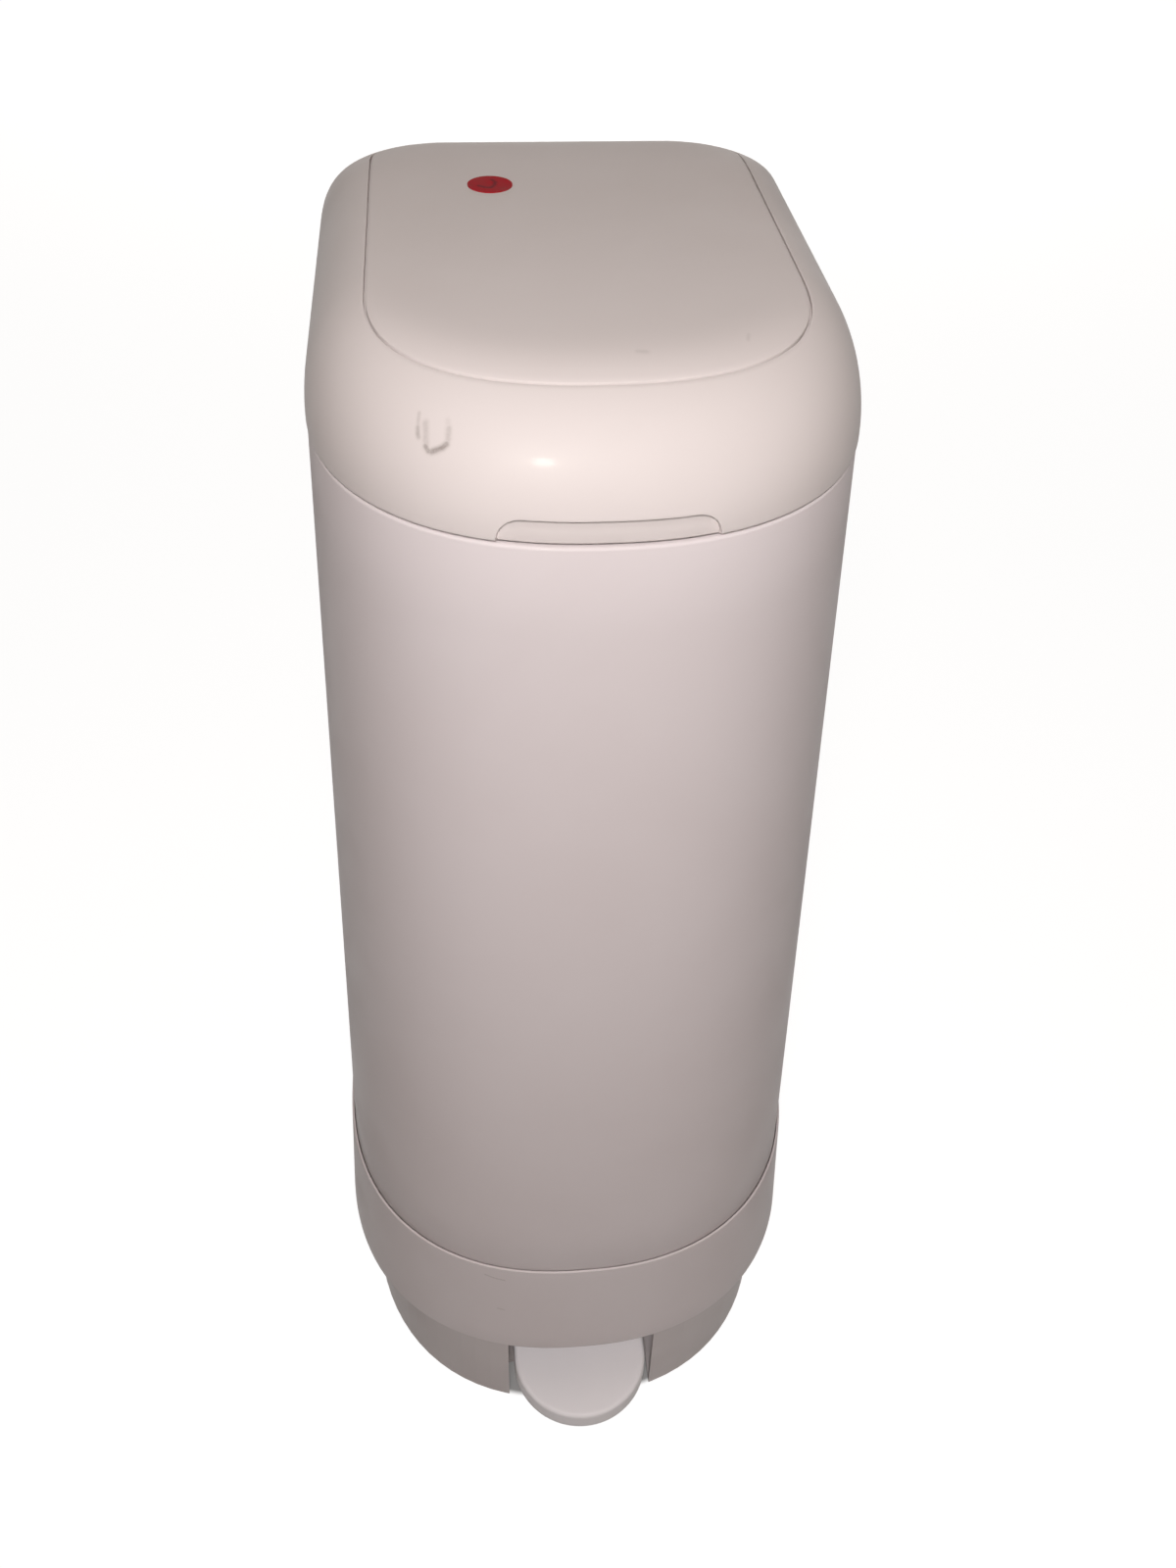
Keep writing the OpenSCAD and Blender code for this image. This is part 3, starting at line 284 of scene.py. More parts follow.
def color_mix(nt, fac, a, b, blend="MIX"):
    n = node(nt, "ShaderNodeMix", data_type="RGBA", blend_type=blend)
    for socket, v in ((n.inputs[0], fac), (n.inputs[6], a), (n.inputs[7], b)):
        if isinstance(v, (int, float)):
            socket.default_value = v
        elif isinstance(v, tuple):
            socket.default_value = (*v, 1)
        else:
            nt.links.new(v, socket)
    return n.outputs[2]


def times(color, share):
    return tuple(share * c for c in color)


def bump(nt, shader, height, strength, distance):
    n = node(nt, "ShaderNodeBump")
    n.inputs["Strength"].default_value = strength
    n.inputs["Distance"].default_value = distance
    nt.links.new(height, n.inputs["Height"])
    nt.links.new(n.outputs[0], shader.inputs["Normal"])


def set_color(nt, shader, source):
    nt.links.new(source, shader.inputs["Base Color"])


def color_source(shader):
    """What feeds the shader's base colour."""
    return shader.inputs["Base Color"].links[0].from_socket


def set_rough(nt, shader, source):
    nt.links.new(source, shader.inputs["Roughness"])


# ---------------- materials

def plastic(name, color, shade, rough=(0.46, 0.58), coat=0.02):
    """Moulded plastic: cloudy tone, fine grain, faint smudges in the gloss and a few specks of dirt."""
    m, nt, s = new_material(name)
    cloud = noise(nt, scale=6.0, detail=4, rough=0.55, distort=0.4)
    tone = color_mix(nt, ramp(nt, cloud, [(0.35, 0.0), (0.68, 1.0)]), shade, color)
    specks = ramp(nt, noise(nt, scale=420.0, detail=2, rough=0.6), [(0.72, 0.0), (0.80, 0.25)])
    patch = ramp(nt, noise(nt, scale=14.0, rough=0.6), [(0.55, 0.0), (0.75, 1.0)])
    set_color(nt, s, color_mix(nt, math_node(nt, "MULTIPLY", specks, patch), tone, times(shade, 0.62)))
    smudge = noise(nt, scale=22.0, detail=5, rough=0.6, distort=0.8)
    set_rough(nt, s, ramp(nt, smudge, [(0.30, rough[0]), (0.72, rough[1])]))
    s.inputs["Coat Weight"].default_value = coat
    s.inputs["Coat Roughness"].default_value = 0.10
    s.inputs["Specular IOR Level"].default_value = 0.15
    fine = noise(nt, scale=900.0, detail=2)
    wave = noise(nt, scale=30.0, detail=2, rough=0.4)
    height = math_node(nt, "ADD", math_node(nt, "MULTIPLY", fine, 0.12), wave)
    bump(nt, s, height, strength=0.15, distance=0.0006)
    return m, nt, s


def metal(name, color, rough=0.28):
    """Drawn metal with fine streaks along its length."""
    m, nt, s = new_material(name)
    streak = node(nt, "ShaderNodeMapping")
    streak.inputs["Scale"].default_value = (1, 1, 12)
    nt.links.new(coords(nt), streak.inputs["Vector"])
    lines = noise(nt, scale=260.0, rough=0.6, vector=streak.outputs[0])
    set_color(nt, s, color_mix(nt, lines, times(color, 0.86), color))
    set_rough(nt, s, ramp(nt, lines, [(0.3, rough - 0.06), (0.7, rough + 0.08)]))
    s.inputs["Metallic"].default_value = 1.0
    bump(nt, s, lines, strength=0.12, distance=0.0003)
    return m


def rubber(name, color):
    m, nt, s = new_material(name)
    n = noise(nt, scale=300.0, detail=4, rough=0.6)
    set_color(nt, s, color_mix(nt, n, times(color, 0.8), times(color, 1.15)))
    set_rough(nt, s, ramp(nt, n, [(0.3, 0.65), (0.7, 0.85)]))
    bump(nt, s, n, strength=0.3, distance=0.0005)
    return m


def foam(name, color):
    """Open cells, darker in the middle of each: painted shade in each hollow, lighter at the cell walls."""
    m, nt, s = new_material(name)
    cells = node(nt, "ShaderNodeTexVoronoi")
    cells.inputs["Scale"].default_value = 500.0
    nt.links.new(coords(nt), cells.inputs["Vector"])
    near = cells.outputs["Distance"]
    # Painted shade: the colour is darkest in each cell's hollow and lightest at its walls
    set_color(nt, s, color_mix(nt, near, times(color, 0.4), times(color, 1.6)))
    set_rough(nt, s, ramp(nt, near, [(0.1, 0.95), (0.6, 0.8)]))
    bump(nt, s, near, strength=0.8, distance=0.001)
    return m


def film(name):
    """Pleated film: fine folds round the ring, with painted shade in their troughs and a painted highlight
    on their crests.
    """
    m, nt, s = new_material(name)
    w = node(nt, "ShaderNodeTexWave", wave_type="BANDS", bands_direction="Z")
    w.inputs["Scale"].default_value = 90.0
    w.inputs["Distortion"].default_value = 3.0
    nt.links.new(coords(nt), w.inputs["Vector"])
    folds = w.outputs["Fac"]
    # Painted shade and highlight: the colour darkens in the folds' troughs and lightens on their crests
    set_color(nt, s, color_mix(nt, folds, (0.50, 0.62, 0.70), (0.70, 0.80, 0.86)))
    set_rough(nt, s, ramp(nt, folds, [(0.2, 0.25), (0.8, 0.4)]))
    bump(nt, s, folds, strength=0.5, distance=0.001)
    return m


# ---------------- marks on materials

def line_distance(nt, start, end):
    """Distance in metres from the surface to a straight line between two places."""
    along = tuple(float(q - p) for p, q in zip(start, end))
    from_start, _ = vector_math(nt, "SUBTRACT", coords(nt), tuple(float(v) for v in start))
    _, dot = vector_math(nt, "DOT_PRODUCT", from_start, along)
    reach = math_node(nt, "DIVIDE", dot, sum(v * v for v in along), clamp=True)
    foot, _ = vector_math(nt, "SCALE", along, scale=reach)
    _, distance = vector_math(nt, "DISTANCE", from_start, foot)
    return distance


STROKE_END, STROKE_SOFT = 2.2, 1.7      # where a stroke fades out and how long that takes, in half widths


def stroke(nt, points, width, strength):
    """Soft-edged line through points, given in mm in the frame: width at the core, strength 0 to 1."""
    near = None
    for start, end in zip(points, points[1:]):
        d = line_distance(nt, [v * MM for v in start], [v * MM for v in end])
        near = d if near is None else math_node(nt, "MINIMUM", near, d)
    half = width * MM / 2
    past_end = math_node(nt, "SUBTRACT", near, half * STROKE_END)
    soft = math_node(nt, "DIVIDE", past_end, -half * STROKE_SOFT, clamp=True)
    return math_node(nt, "MULTIPLY", math_node(nt, "MULTIPLY", soft, soft), strength)


def add_marks(nt, shader, strokes, color, patchy=0.35):
    """Lays strokes of one colour over a material, worn through in places."""
    total = None
    for points, width, strength in strokes:
        mark = stroke(nt, points, width, strength)
        total = mark if total is None else math_node(nt, "MAXIMUM", total, mark)
    patchiness = ramp(nt, noise(nt, scale=700.0, rough=0.6), [(0.30, 1.0 - patchy), (0.62, 1.0)])
    set_color(nt, shader, color_mix(nt, math_node(nt, "MULTIPLY", total, patchiness), color_source(shader), color))


def split_place(nt):
    """The x, y and z of a place on the piece, in metres."""
    split = node(nt, "ShaderNodeSeparateXYZ")
    nt.links.new(coords(nt), split.inputs[0])
    return split.outputs


def add_painted_shadow_line(nt, shader, level, half, strength, color):
    """Level line of painted shadow at a height in mm, patchy along its length."""
    away = math_node(nt, "ABSOLUTE", math_node(nt, "SUBTRACT", split_place(nt)[2], level * MM))
    line = math_node(nt, "SUBTRACT", 1.0, math_node(nt, "DIVIDE", away, half * MM), clamp=True)
    patchiness = ramp(nt, noise(nt, scale=60.0, rough=0.6), [(0.30, 0.7), (0.62, 1.0)])
    fac = math_node(nt, "MULTIPLY", math_node(nt, "MULTIPLY", line, patchiness), strength)
    set_color(nt, shader, color_mix(nt, fac, color_source(shader), color))


def add_painted_lower_shade(nt, shader, level, tone):
    """Tints everything below a height in mm darker, as painted shade."""
    below = math_node(nt, "LESS_THAN", split_place(nt)[2], level * MM)
    plain = color_source(shader)
    tinted = color_mix(nt, 1.0, plain, tone, blend="MULTIPLY")
    set_color(nt, shader, color_mix(nt, below, plain, tinted))


# ---------------- the bin's materials

STICKER_X, STICKER_Y = -30.0, 81.0
STICKER_R, STICKER_T = 9.0, 0.3
CURL = ((-0.5, -0.18), (-0.25, -0.38), (0.02, -0.42), (0.2, -0.12), (0.25, 0.28), (0.12, 0.52))


def sticker(name):
    """Plain red label, worn at its rim, with a generic curl in darker ink across its middle."""
    m, nt, s = new_material(name)
    n = noise(nt, scale=90.0, rough=0.6)
    worn = ramp(nt, n, [(0.35, 0.0), (0.7, 1.0)])
    set_color(nt, s, color_mix(nt, worn, (0.27, 0.012, 0.014), (0.42, 0.008, 0.018)))
    top = LID_TOP + STICKER_T
    curl = [(STICKER_X + STICKER_R * x, STICKER_Y + Y_SHIFT + STICKER_R * y, top) for x, y in CURL]
    add_marks(nt, s, [(curl, 1.6, 0.8)], (0.085, 0.008, 0.012), patchy=0.4)
    s.inputs["Specular IOR Level"].default_value = 0.1
    set_rough(nt, s, ramp(nt, n, [(0.3, 0.55), (0.7, 0.7)]))
    bump(nt, s, n, strength=0.15, distance=0.0004)
    return m


white_mat, white_nt, white_shader = plastic("white_plastic", (0.70, 0.645, 0.65), (0.67, 0.61, 0.612))
lid_mat, lid_nt, lid_shader = plastic("lid_plastic", (0.69, 0.635, 0.62), (0.66, 0.605, 0.588),
                                      rough=(0.44, 0.54))
pedal_mat, _, _ = plastic("pedal_plastic", (0.93, 0.90, 0.92), (0.88, 0.86, 0.885),
                          rough=(0.48, 0.60), coat=0.03)
inner_mat, _, _ = plastic("inner_plastic", (0.55, 0.535, 0.53), (0.51, 0.495, 0.49),
                          rough=(0.5, 0.65), coat=0.0)
cassette_mat, _, _ = plastic("cassette_plastic", (0.58, 0.61, 0.65), (0.53, 0.56, 0.60),
                             rough=(0.45, 0.6), coat=0.0)
grey_mat, _, _ = plastic("grey_plastic", (0.33, 0.33, 0.35), (0.29, 0.29, 0.31),
                         rough=(0.45, 0.6), coat=0.0)

SLOT_MATERIAL = {
    "white_plastic": white_mat,
    "lid_plastic": lid_mat,
    "pedal_plastic": pedal_mat,
    "inner_plastic": inner_mat,
    "cassette_plastic": cassette_mat,
    "grey_plastic": grey_mat,
    "steel": metal("steel", (0.62, 0.63, 0.65)),
    "spring_steel": metal("spring_steel", (0.55, 0.56, 0.58), rough=0.2),
    "rubber": rubber("rubber", (0.03, 0.03, 0.032)),
    "rubber_grey": rubber("rubber_grey", (0.20, 0.20, 0.21)),
    "filter_foam": foam("filter_foam", (0.03, 0.03, 0.03)),
    "film": film("film"),
    "sticker": sticker("sticker"),
}
for entry in frame["record"]["subparts"]:
    ob = nodes[entry["node"]]
    ob.data.materials.clear()
    ob.data.materials.append(SLOT_MATERIAL[entry["material_slot"]])


# ---------------- lid: its outside

SIDE_ROUND, FRONT_ROUND, BACK_ROUND = 30.0, 49.0, 52.0      # how far the dome comes in to its flat top
LID_CENTRE = np.array([0.0, 34.0])
REAR_FLAT = LID_A - REAR_R      # half width of the back's straight part at the rim
HALVINGS = 40           # steps of each search by halves


def lid_ring_args(t, d):
    """The lid's plan, set in by d, at the angle t up its dome."""
    c = 1 - math.cos(t)
    a, b = LID_A - d - SIDE_ROUND * c, LID_B - d - FRONT_ROUND * c
    return (a, b, BACK - d - BACK_ROUND * c, REAR_R - d)


def lid_point(place, a, b, back, r):
    """Like plan_point, but the columns of the back keep their x as the corners close in above them."""
    kind, v = place
    if kind == "B":
        x = REAR_FLAT * (2 * v - 1)
        beyond = max(0.0, abs(x) - (a - r))
        return np.array([x, back - r + math.sqrt(max(0.0, r * r - beyond * beyond))])
    if kind in ("CL", "CR"):
        start = math.degrees(math.asin(min(1.0, max(0.0, (REAR_FLAT - a + r) / r))))
        share = v / 90
        angle = share * (90 - start) if kind == "CL" else start + share * (90 - start)
        return plan_point((kind, angle), a, b, back, r)
    return plan_point(place, a, b, back, r)


def lid_path(place, u, d):
    """Point on the lid's outside, set in by d: u 0 at the rim, 1 at the flat top's edge, 2 at its centre."""
    t = math.radians(90 * min(u, 1.0))
    x, y = lid_point(place, *lid_ring_args(t, d))
    z = LID_Z + (LID_TOP - LID_Z - d) * math.sin(t)
    if u > 1:
        x, y = mix(np.array([x, y]), LID_CENTRE, u - 1)
    return np.array([x, y, z])


def height_u(height, d):
    """The u of the lid's path at a height above the rim."""
    return math.degrees(math.asin(height / (LID_TOP - LID_Z - d))) / 90


def lid_at(place, height, d):
    return lid_path(place, height_u(height, d), d)


def in_plan(x, y, a, b, back, r):
    """Below 0 inside a plan, above 0 outside."""
    x = abs(x)
    if y <= 0:
        return (x / a) ** POWER + (-y / b) ** POWER - 1
    if x > a - r and y > back - r:
        return (math.hypot(x - a + r, y - back + r) - r) / r
    return max((x - a) / a, (y - back) / back)


def lid_height(x, y):
    """Height of the lid's outside above the point x, y."""
    if in_plan(x, y, *lid_ring_args(math.pi / 2, 0)) <= 0:
        return LID_TOP
    low, high = 0.0, math.pi / 2
    for _ in range(HALVINGS):
        mid = (low + high) / 2
        if in_plan(x, y, *lid_ring_args(mid, 0)) > 0:
            high = mid
        else:
            low = mid
    return LID_Z + (LID_TOP - LID_Z) * math.sin((low + high) / 2)


def cross(place, inside, high=1.95):
    """The u of the lid's path, between the rim and high, where inside(x, y, z) turns true."""
    low = 0.0
    for _ in range(HALVINGS):
        mid = (low + high) / 2
        if inside(*lid_path(place, mid, 0)):
            high = mid
        else:
            low = mid
    return (low + high) / 2


# ---------------- lid: panel, recess and notch

PANEL_A, PANEL_FRONT, PANEL_BACK, PANEL_R = 77.5, 80.0, 150.0, 30.0
PANEL_SIDE_Y = -18.0    # where the panel's straight sides start
PANEL_T = 1.6
GROOVE = 0.7            # width of the groove round the panel
LEDGE_DROP = 0.2        # gap under the panel
RECESS_W, RECESS_H, RECESS_R, RECESS_D = 75.0, 8.5, 8.3, 2.0
NOTCH_HALF, NOTCH_R = 66.0, 16.2        # half width of the notch over the hinge, radius about the pin
NOTCH_Y = 100.0         # the notch lies behind this


def panel_args(grow):
    """The panel's plan about its own y, larger by grow."""
    front, back = PANEL_FRONT + PANEL_SIDE_Y, PANEL_BACK - PANEL_SIDE_Y
    return (PANEL_A + grow, front + grow, back + grow, PANEL_R + grow)


def recess_top(x):
    """Height above the rim of the finger recess at x, or None beside it."""
    half = RECESS_W / 2
    x = abs(x)
    if x > half:
        return None
    if x <= half - RECESS_R:
        return RECESS_H
    return RECESS_H - RECESS_R + math.sqrt(max(0.0, RECESS_R ** 2 - (x - half + RECESS_R) ** 2))


def notch_top(place):
    """The u where the notch over the hinge ends, or None beside it."""
    def above(_, y, z):
        return math.hypot(y - HINGE_Y, z - HINGE_Z) > NOTCH_R and z > HINGE_Z
    x, y, _ = lid_path(place, 0.0, 0)
    if y < NOTCH_Y or abs(x) > NOTCH_HALF:
        return None
    return cross(place, above, high=1.0)


EDGE_STEP = 0.02        # how near a cut's edge the stations beside it stand
NEAR_ANGLE = 0.35       # a plain station this near, in degrees, makes room for one at a cut
RECESS_ARC = range(12, 90, 12)      # degrees of the stations round the recess's corners
NOTCH_STEP, NOTCH_COLUMNS = 4.0, 22


def lid_stations():
    """Stations round the lid, with extra ones at the sides of the recess and of the notch over the hinge."""
    half = RECESS_W / 2
    xs = [half + EDGE_STEP, half - EDGE_STEP]
    xs += [half - RECESS_R * (1 - math.cos(math.radians(a))) for a in RECESS_ARC]
    marks = [front_station(side * x, LID_A) for side in (-1, 1) for x in xs]
    places = stations(front=110, side=14, corner=16, back=0)
    front = [p for p in places if p[0] == "F" and min(abs(p[1] - q[1]) for q in marks) > NEAR_ANGLE]
    sides = {kind: [p for p in places if p[0] == kind] for kind in ("L", "CL", "CR", "R")}
    edge, inner = NOTCH_HALF - EDGE_STEP, NOTCH_HALF - NOTCH_STEP
    back_xs = [-edge, *np.linspace(-inner, inner, NOTCH_COLUMNS), edge]
    back = [("B", (x + REAR_FLAT) / (2 * REAR_FLAT)) for x in back_xs]
    in_order = sorted(front + marks, key=lambda p: p[1])
    return in_order + sides["L"] + sides["CL"] + back + sides["CR"] + sides["R"]


# ---------------- lid: its shell

DOME_ROWS, INNER_ROWS = 26, 22
RIM_FILLET = 0.7
FILLET_ANGLES = (0, 30, 60)
PLAIN_RIM = 1.6         # height of a column's lowest stretch where there is no recess
RECESS_SINK = 0.55      # how far the recess's wall reaches below the rim, into the seam's gap
RECESS_START = 0.2      # the recess's wall ends this far below its top
RECESS_EDGE = ((0.93, 0.0), (0.16, 0.05), (0.04, 0.15), (0.0, 0.35))    # share of its depth, above its top
DOME_START = 0.9        # the dome's rows start this far above the recess
GROOVE_EDGE = ((0.3, 0.0), (0.08, 0.12), (0.0, 0.35))       # back along the dome, down into the groove
LEDGE_SHARES = (0.15, 0.5, 1.0)
LIP_DEPTH = 6.4         # how far the lip inside the rim reaches down past the seam
LIP_ROUND = 0.2
LIP_OUTER, LIP_INNER = 4.2, 5.0     # the lip's faces, from the lid's outside
LIP_ROOT = 4.0          # height above the rim where the lip leaves the lid's wall
LIP_ABOVE = 0.8         # the wall's inside ends this far above the root
LIP_END_Y = 120.0       # the lip ends here, short of the hinge
INNER_END = 0.01        # u above the rim where the inside ends beside the hinge
NO_LIP_SHARES = np.linspace(0.05, 0.4, 6)       # places for the lip's points where there is no lip


def unit(v):
    return v / np.linalg.norm(v)


def rim_points(place, low, deep):
    """Rounded lower edge of the lid's wall, and the ways across the wall and up it."""
    first = lid_at(place, low, deep)
    up = unit(lid_at(place, low + 1.0, deep) - first)
    across = lid_at(place, low, LID_WALL) - lid_at(place, low, 0)
    across[2] = 0.0
    across = unit(across)
    pts = []
    for a in FILLET_ANGLES:
        r = math.radians(a)
        pts.append(first + across * RIM_FILLET * (1 - math.sin(r)) + up * RIM_FILLET * (1 - math.cos(r)))
    return pts, across, up


def lip_points(place):
    """Lip inside the lid's rim, from its root down, round its end and up, or None by the hinge."""
    if place[0] not in ("F", "L", "R") or lid_path(place, 0.0, 0)[1] > LIP_END_Y:
        return None
    middle = (LIP_INNER + LIP_OUTER) / 2
    side_end = LIP_ROUND - LIP_DEPTH
    steps = ((LIP_ROOT, LIP_INNER), (0.0, LIP_INNER), (side_end, LIP_INNER), (-LIP_DEPTH, middle),
             (side_end, LIP_OUTER), (0.0, LIP_OUTER))
    return [lid_at(place, height, d) for height, d in steps]


def groove_points(edge, before):
    """Rounded edge of the panel's groove, its wall, and the ledge under the panel."""
    tangent = unit(edge - before)
    down = np.array([0.0, 0.0, 1.0])
    pts = [edge - tangent * back - down * drop for back, drop in GROOVE_EDGE]
    pts.append(edge - down * (PANEL_T + LEDGE_DROP))
    for f in LEDGE_SHARES:
        x, y = mix(edge[:2], LID_CENTRE, f)
        pts.append(np.array([x, y, lid_height(x, y) - PANEL_T - LEDGE_DROP]))
    return pts


def lid_inside(place, low, last):
    """Inside of the lid from its centre to its rim, with the lip or as many points without it."""
    lip = lip_points(place)
    end_u = height_u(low, LID_WALL) + INNER_END if lip is None else height_u(LIP_ROOT + LIP_ABOVE, LID_WALL)
    pts = [lid_path(place, u, LID_WALL) for u in np.linspace(2.0, end_u, INNER_ROWS)]
    return pts + (lip or [mix(pts[-1], last, share) for share in NO_LIP_SHARES])


def lid_column(place):
    """Cross-section of the lid's shell at one place round it."""
    recess = recess_top(lid_path(place, 0.0, 0)[0]) if place[0] == "F" else None
    if recess is None:
        notch = notch_top(place)
        deep = 0.0
        low = 0.0 if notch is None else (LID_TOP - LID_Z) * math.sin(math.radians(90 * notch))
        top = low + PLAIN_RIM
    else:
        deep, low, top = RECESS_D, -RECESS_SINK, recess
    pts, across, up = rim_points(place, low, deep)
    pts += [lid_at(place, h, deep) for h in np.linspace(low + RIM_FILLET, top - RECESS_START, 3)]
    pts += [lid_at(place, top + rise, deep * share) for share, rise in RECESS_EDGE]
    end_u = cross(place, lambda x, y, z: in_plan(x, y - PANEL_SIDE_Y, *panel_args(GROOVE)) <= 0)
    dome = [lid_path(place, u, 0) for u in np.linspace(height_u(top + DOME_START, 0), end_u, DOME_ROWS)]
    pts += dome[:-1] + groove_points(dome[-1], dome[-2])
    last = lid_at(place, low, LID_WALL)
    pts += lid_inside(place, low, last)
    pts.append(last + up * RIM_FILLET * 0.5)
    pts.append(last - across * RIM_FILLET)
    return pts


make_mesh("lid_dome", *wall_mesh([lid_column(p) for p in lid_stations()], True),
          "lid", "lid_plastic", lid_mat, ("lid_shell",), merge=SAME_PLACE)


# ---------------- lid: its panel

PANEL_TOP_IN, PANEL_UNDER_IN = 0.3, 0.2     # how far the panel's faces are set in from its edge
PANEL_SHARES = (0.25, 0.5, 0.65, 0.78, 0.86, 0.92, 0.96, 0.985, 1.0)
PANEL_EDGE = ((0.12, 0.08), (0.0, 0.3), (0.0, PANEL_T))     # set in, drop
UNDER_SHARES = (0.97, 0.9, 0.75, 0.5)


def panel_column(place):
    """Half a cross-section of the panel, from its middle out and back below."""
    def at(f, d, drop):
        x, y = plan_point(place, *panel_args(-d))
        x, y = mix(LID_CENTRE, np.array([x, y + PANEL_SIDE_Y]), f)
        return np.array([x, y, lid_height(x, y) - drop])
    pts = [at(0.0, 0, 0)]
    pts += [at(f, PANEL_TOP_IN, 0) for f in PANEL_SHARES]
    pts += [at(1.0, d, drop) for d, drop in PANEL_EDGE]
    pts += [at(f, PANEL_UNDER_IN, PANEL_T) for f in UNDER_SHARES]
    pts.append(at(0.0, 0, PANEL_T))
    return pts


panel_places = stations(front=110, side=24, corner=14, back=20)
make_mesh("lid_top_panel", *wall_mesh([panel_column(p) for p in panel_places], True),
          "lid", "lid_plastic", lid_mat, ("lid_panel",), merge=SAME_PLACE)


# ---------------- walls of front and housing

SPLIT = 0.6             # half the gap between front and housing
SPLIT_IN = 0.7          # how far their edges there are set in
FRONT_FILLET, REAR_FILLET = 1.2, 0.8
WALL_ROWS, WALL_INNER_ROWS = 14, 4


def rise(z):
    return (z - SEAM_Z) / (LID_SEAM_Z - SEAM_Z)


def front_args(z, d):
    r = rise(z)
    return (mix(BODY_A, TOP_A, r) - d, mix(BODY_B, TOP_B, r) - d, BACK - d, REAR_R - d)


def rear_args(z, d):
    r = rise(z)
    return (mix(BODY_A, TOP_A + REAR_PROUD, r) - d, mix(BODY_B, TOP_B, r) - d, BACK - d, REAR_R - d)


def wall_column(place, args, z0, z1, fillet, y_limit=None, inset=0.0):
    """Cross-section of an upright wall between z0 and z1 with rounded rims."""
    def at(z, d):
        x, y = plan_point(place, *args(z, d))
        return np.array([x, y if y_limit is None else y_limit, z])
    inner_fillet = fillet * 0.6
    pts = []
    for a in FILLET_ANGLES:
        r = math.radians(a)
        pts.append(at(z0 + fillet * (1 - math.cos(r)), inset + fillet * (1 - math.sin(r))))
    pts += [at(z, inset) for z in np.linspace(z0 + fillet, z1 - fillet, WALL_ROWS)]
    for a in FILLET_ANGLES:
        r = math.radians(30 + a)
        pts.append(at(z1 - fillet * (1 - math.sin(r)), inset + fillet * (1 - math.cos(r))))
    pts.append(at(z1, WALL - inner_fillet))
    pts += [at(z, WALL - inset) for z in np.linspace(z1 - inner_fillet, z0 + inner_fillet, WALL_INNER_ROWS)]
    pts.append(at(z0, WALL - inner_fillet))
    return pts


# ---------------- front

SHELL_BOTTOM = SEAM_Z - 1.5
CORNER_R = 11.4         # radius of the front's lower rear corners about the pivot
CORNER_YS = (-SPLIT - 0.6, -1.6, -2.4, -3.6, -5.0, -6.6, -8.4, -10.4, -11.9)
FRONT_COLUMNS = 50


def front_angle(y):
    """Angle from the side, in degrees, where the front's plan has that y."""
    return math.degrees(math.asin(min(1.0, (-y / BODY_B) ** (POWER / 2))))


def front_columns():
    corner = front_angle(TILT_Y)
    angles = [front_angle(y) for y in CORNER_YS] + [corner + 0.15]
    angles += list(np.linspace(corner + 1.2, 90, FRONT_COLUMNS))
    angles = sorted(angles)
    angles += [180 - a for a in reversed(angles[:-1])]
    cols = []
    for a in angles:
        y = plan_point(("F", a), *front_args(SEAM_Z, 0))[1]
        z0 = SHELL_BOTTOM
        if y > TILT_Y:
            z0 = TILT_Z - math.sqrt(CORNER_R ** 2 - min(CORNER_R, y - TILT_Y) ** 2)
        cols.append((("F", a), z0))
    wall = [wall_column(p, front_args, z, SHELL_TOP, FRONT_FILLET) for p, z in cols]
    first, last = (wall_column(p, front_args, z, SHELL_TOP, FRONT_FILLET, -SPLIT, SPLIT_IN)
                   for p, z in (cols[0], cols[-1]))
    return [first] + wall + [last]


make_mesh("front_wall", *wall_mesh(front_columns(), False),
          "front", "white_plastic", white_mat, ("front_shell",))

PIVOT_BOSS_R, PIVOT_HOLE_R = 9.0, 3.1
PIVOT_BOSS_X = (112.8, 119.4)
PAIL_BOSS_X, PAIL_BOSS_R, PAIL_BOSS_END = 20.0, 6.0, -107.0
PAIL_BOSSES = ((190.0, -120.0), (370.0, -113.0))        # height, and y where each starts
CATCH_HALF, CATCH_Z = 14.0, 556.0


def front_details(bm):
    """Pivot bosses, pail bosses and the catch, inside the front."""
    for s in (-1, 1):
        start, end = ((s * x, TILT_Y, TILT_Z) for x in PIVOT_BOSS_X)
        rod_part(bm, PIVOT_BOSS_R, start, end, 0.6, inner=PIVOT_HOLE_R)
        for z, y in PAIL_BOSSES:
            rod_part(bm, PAIL_BOSS_R, (s * PAIL_BOSS_X, y, z), (s * PAIL_BOSS_X, PAIL_BOSS_END, z), 0.5)
    box_part(bm, (-CATCH_HALF, -106.0, CATCH_Z), (CATCH_HALF, -91.0, CATCH_Z + 3.0), 0.6)
    box_part(bm, (-CATCH_HALF, -93.0, CATCH_Z - 8.0), (CATCH_HALF, -91.0, CATCH_Z + 2.8), 0.5)


part_object("front_bosses", front_details, "front", "white_plastic", white_mat)


# ---------------- housing

REAR_BOTTOM = SEAM_Z - 4.0
REAR_RIM = LID_Z - 5.0  # height of the rim behind STEP_Y
STEP_Y = 145.0
NEXT = 0.001            # between the two columns where the rim steps down


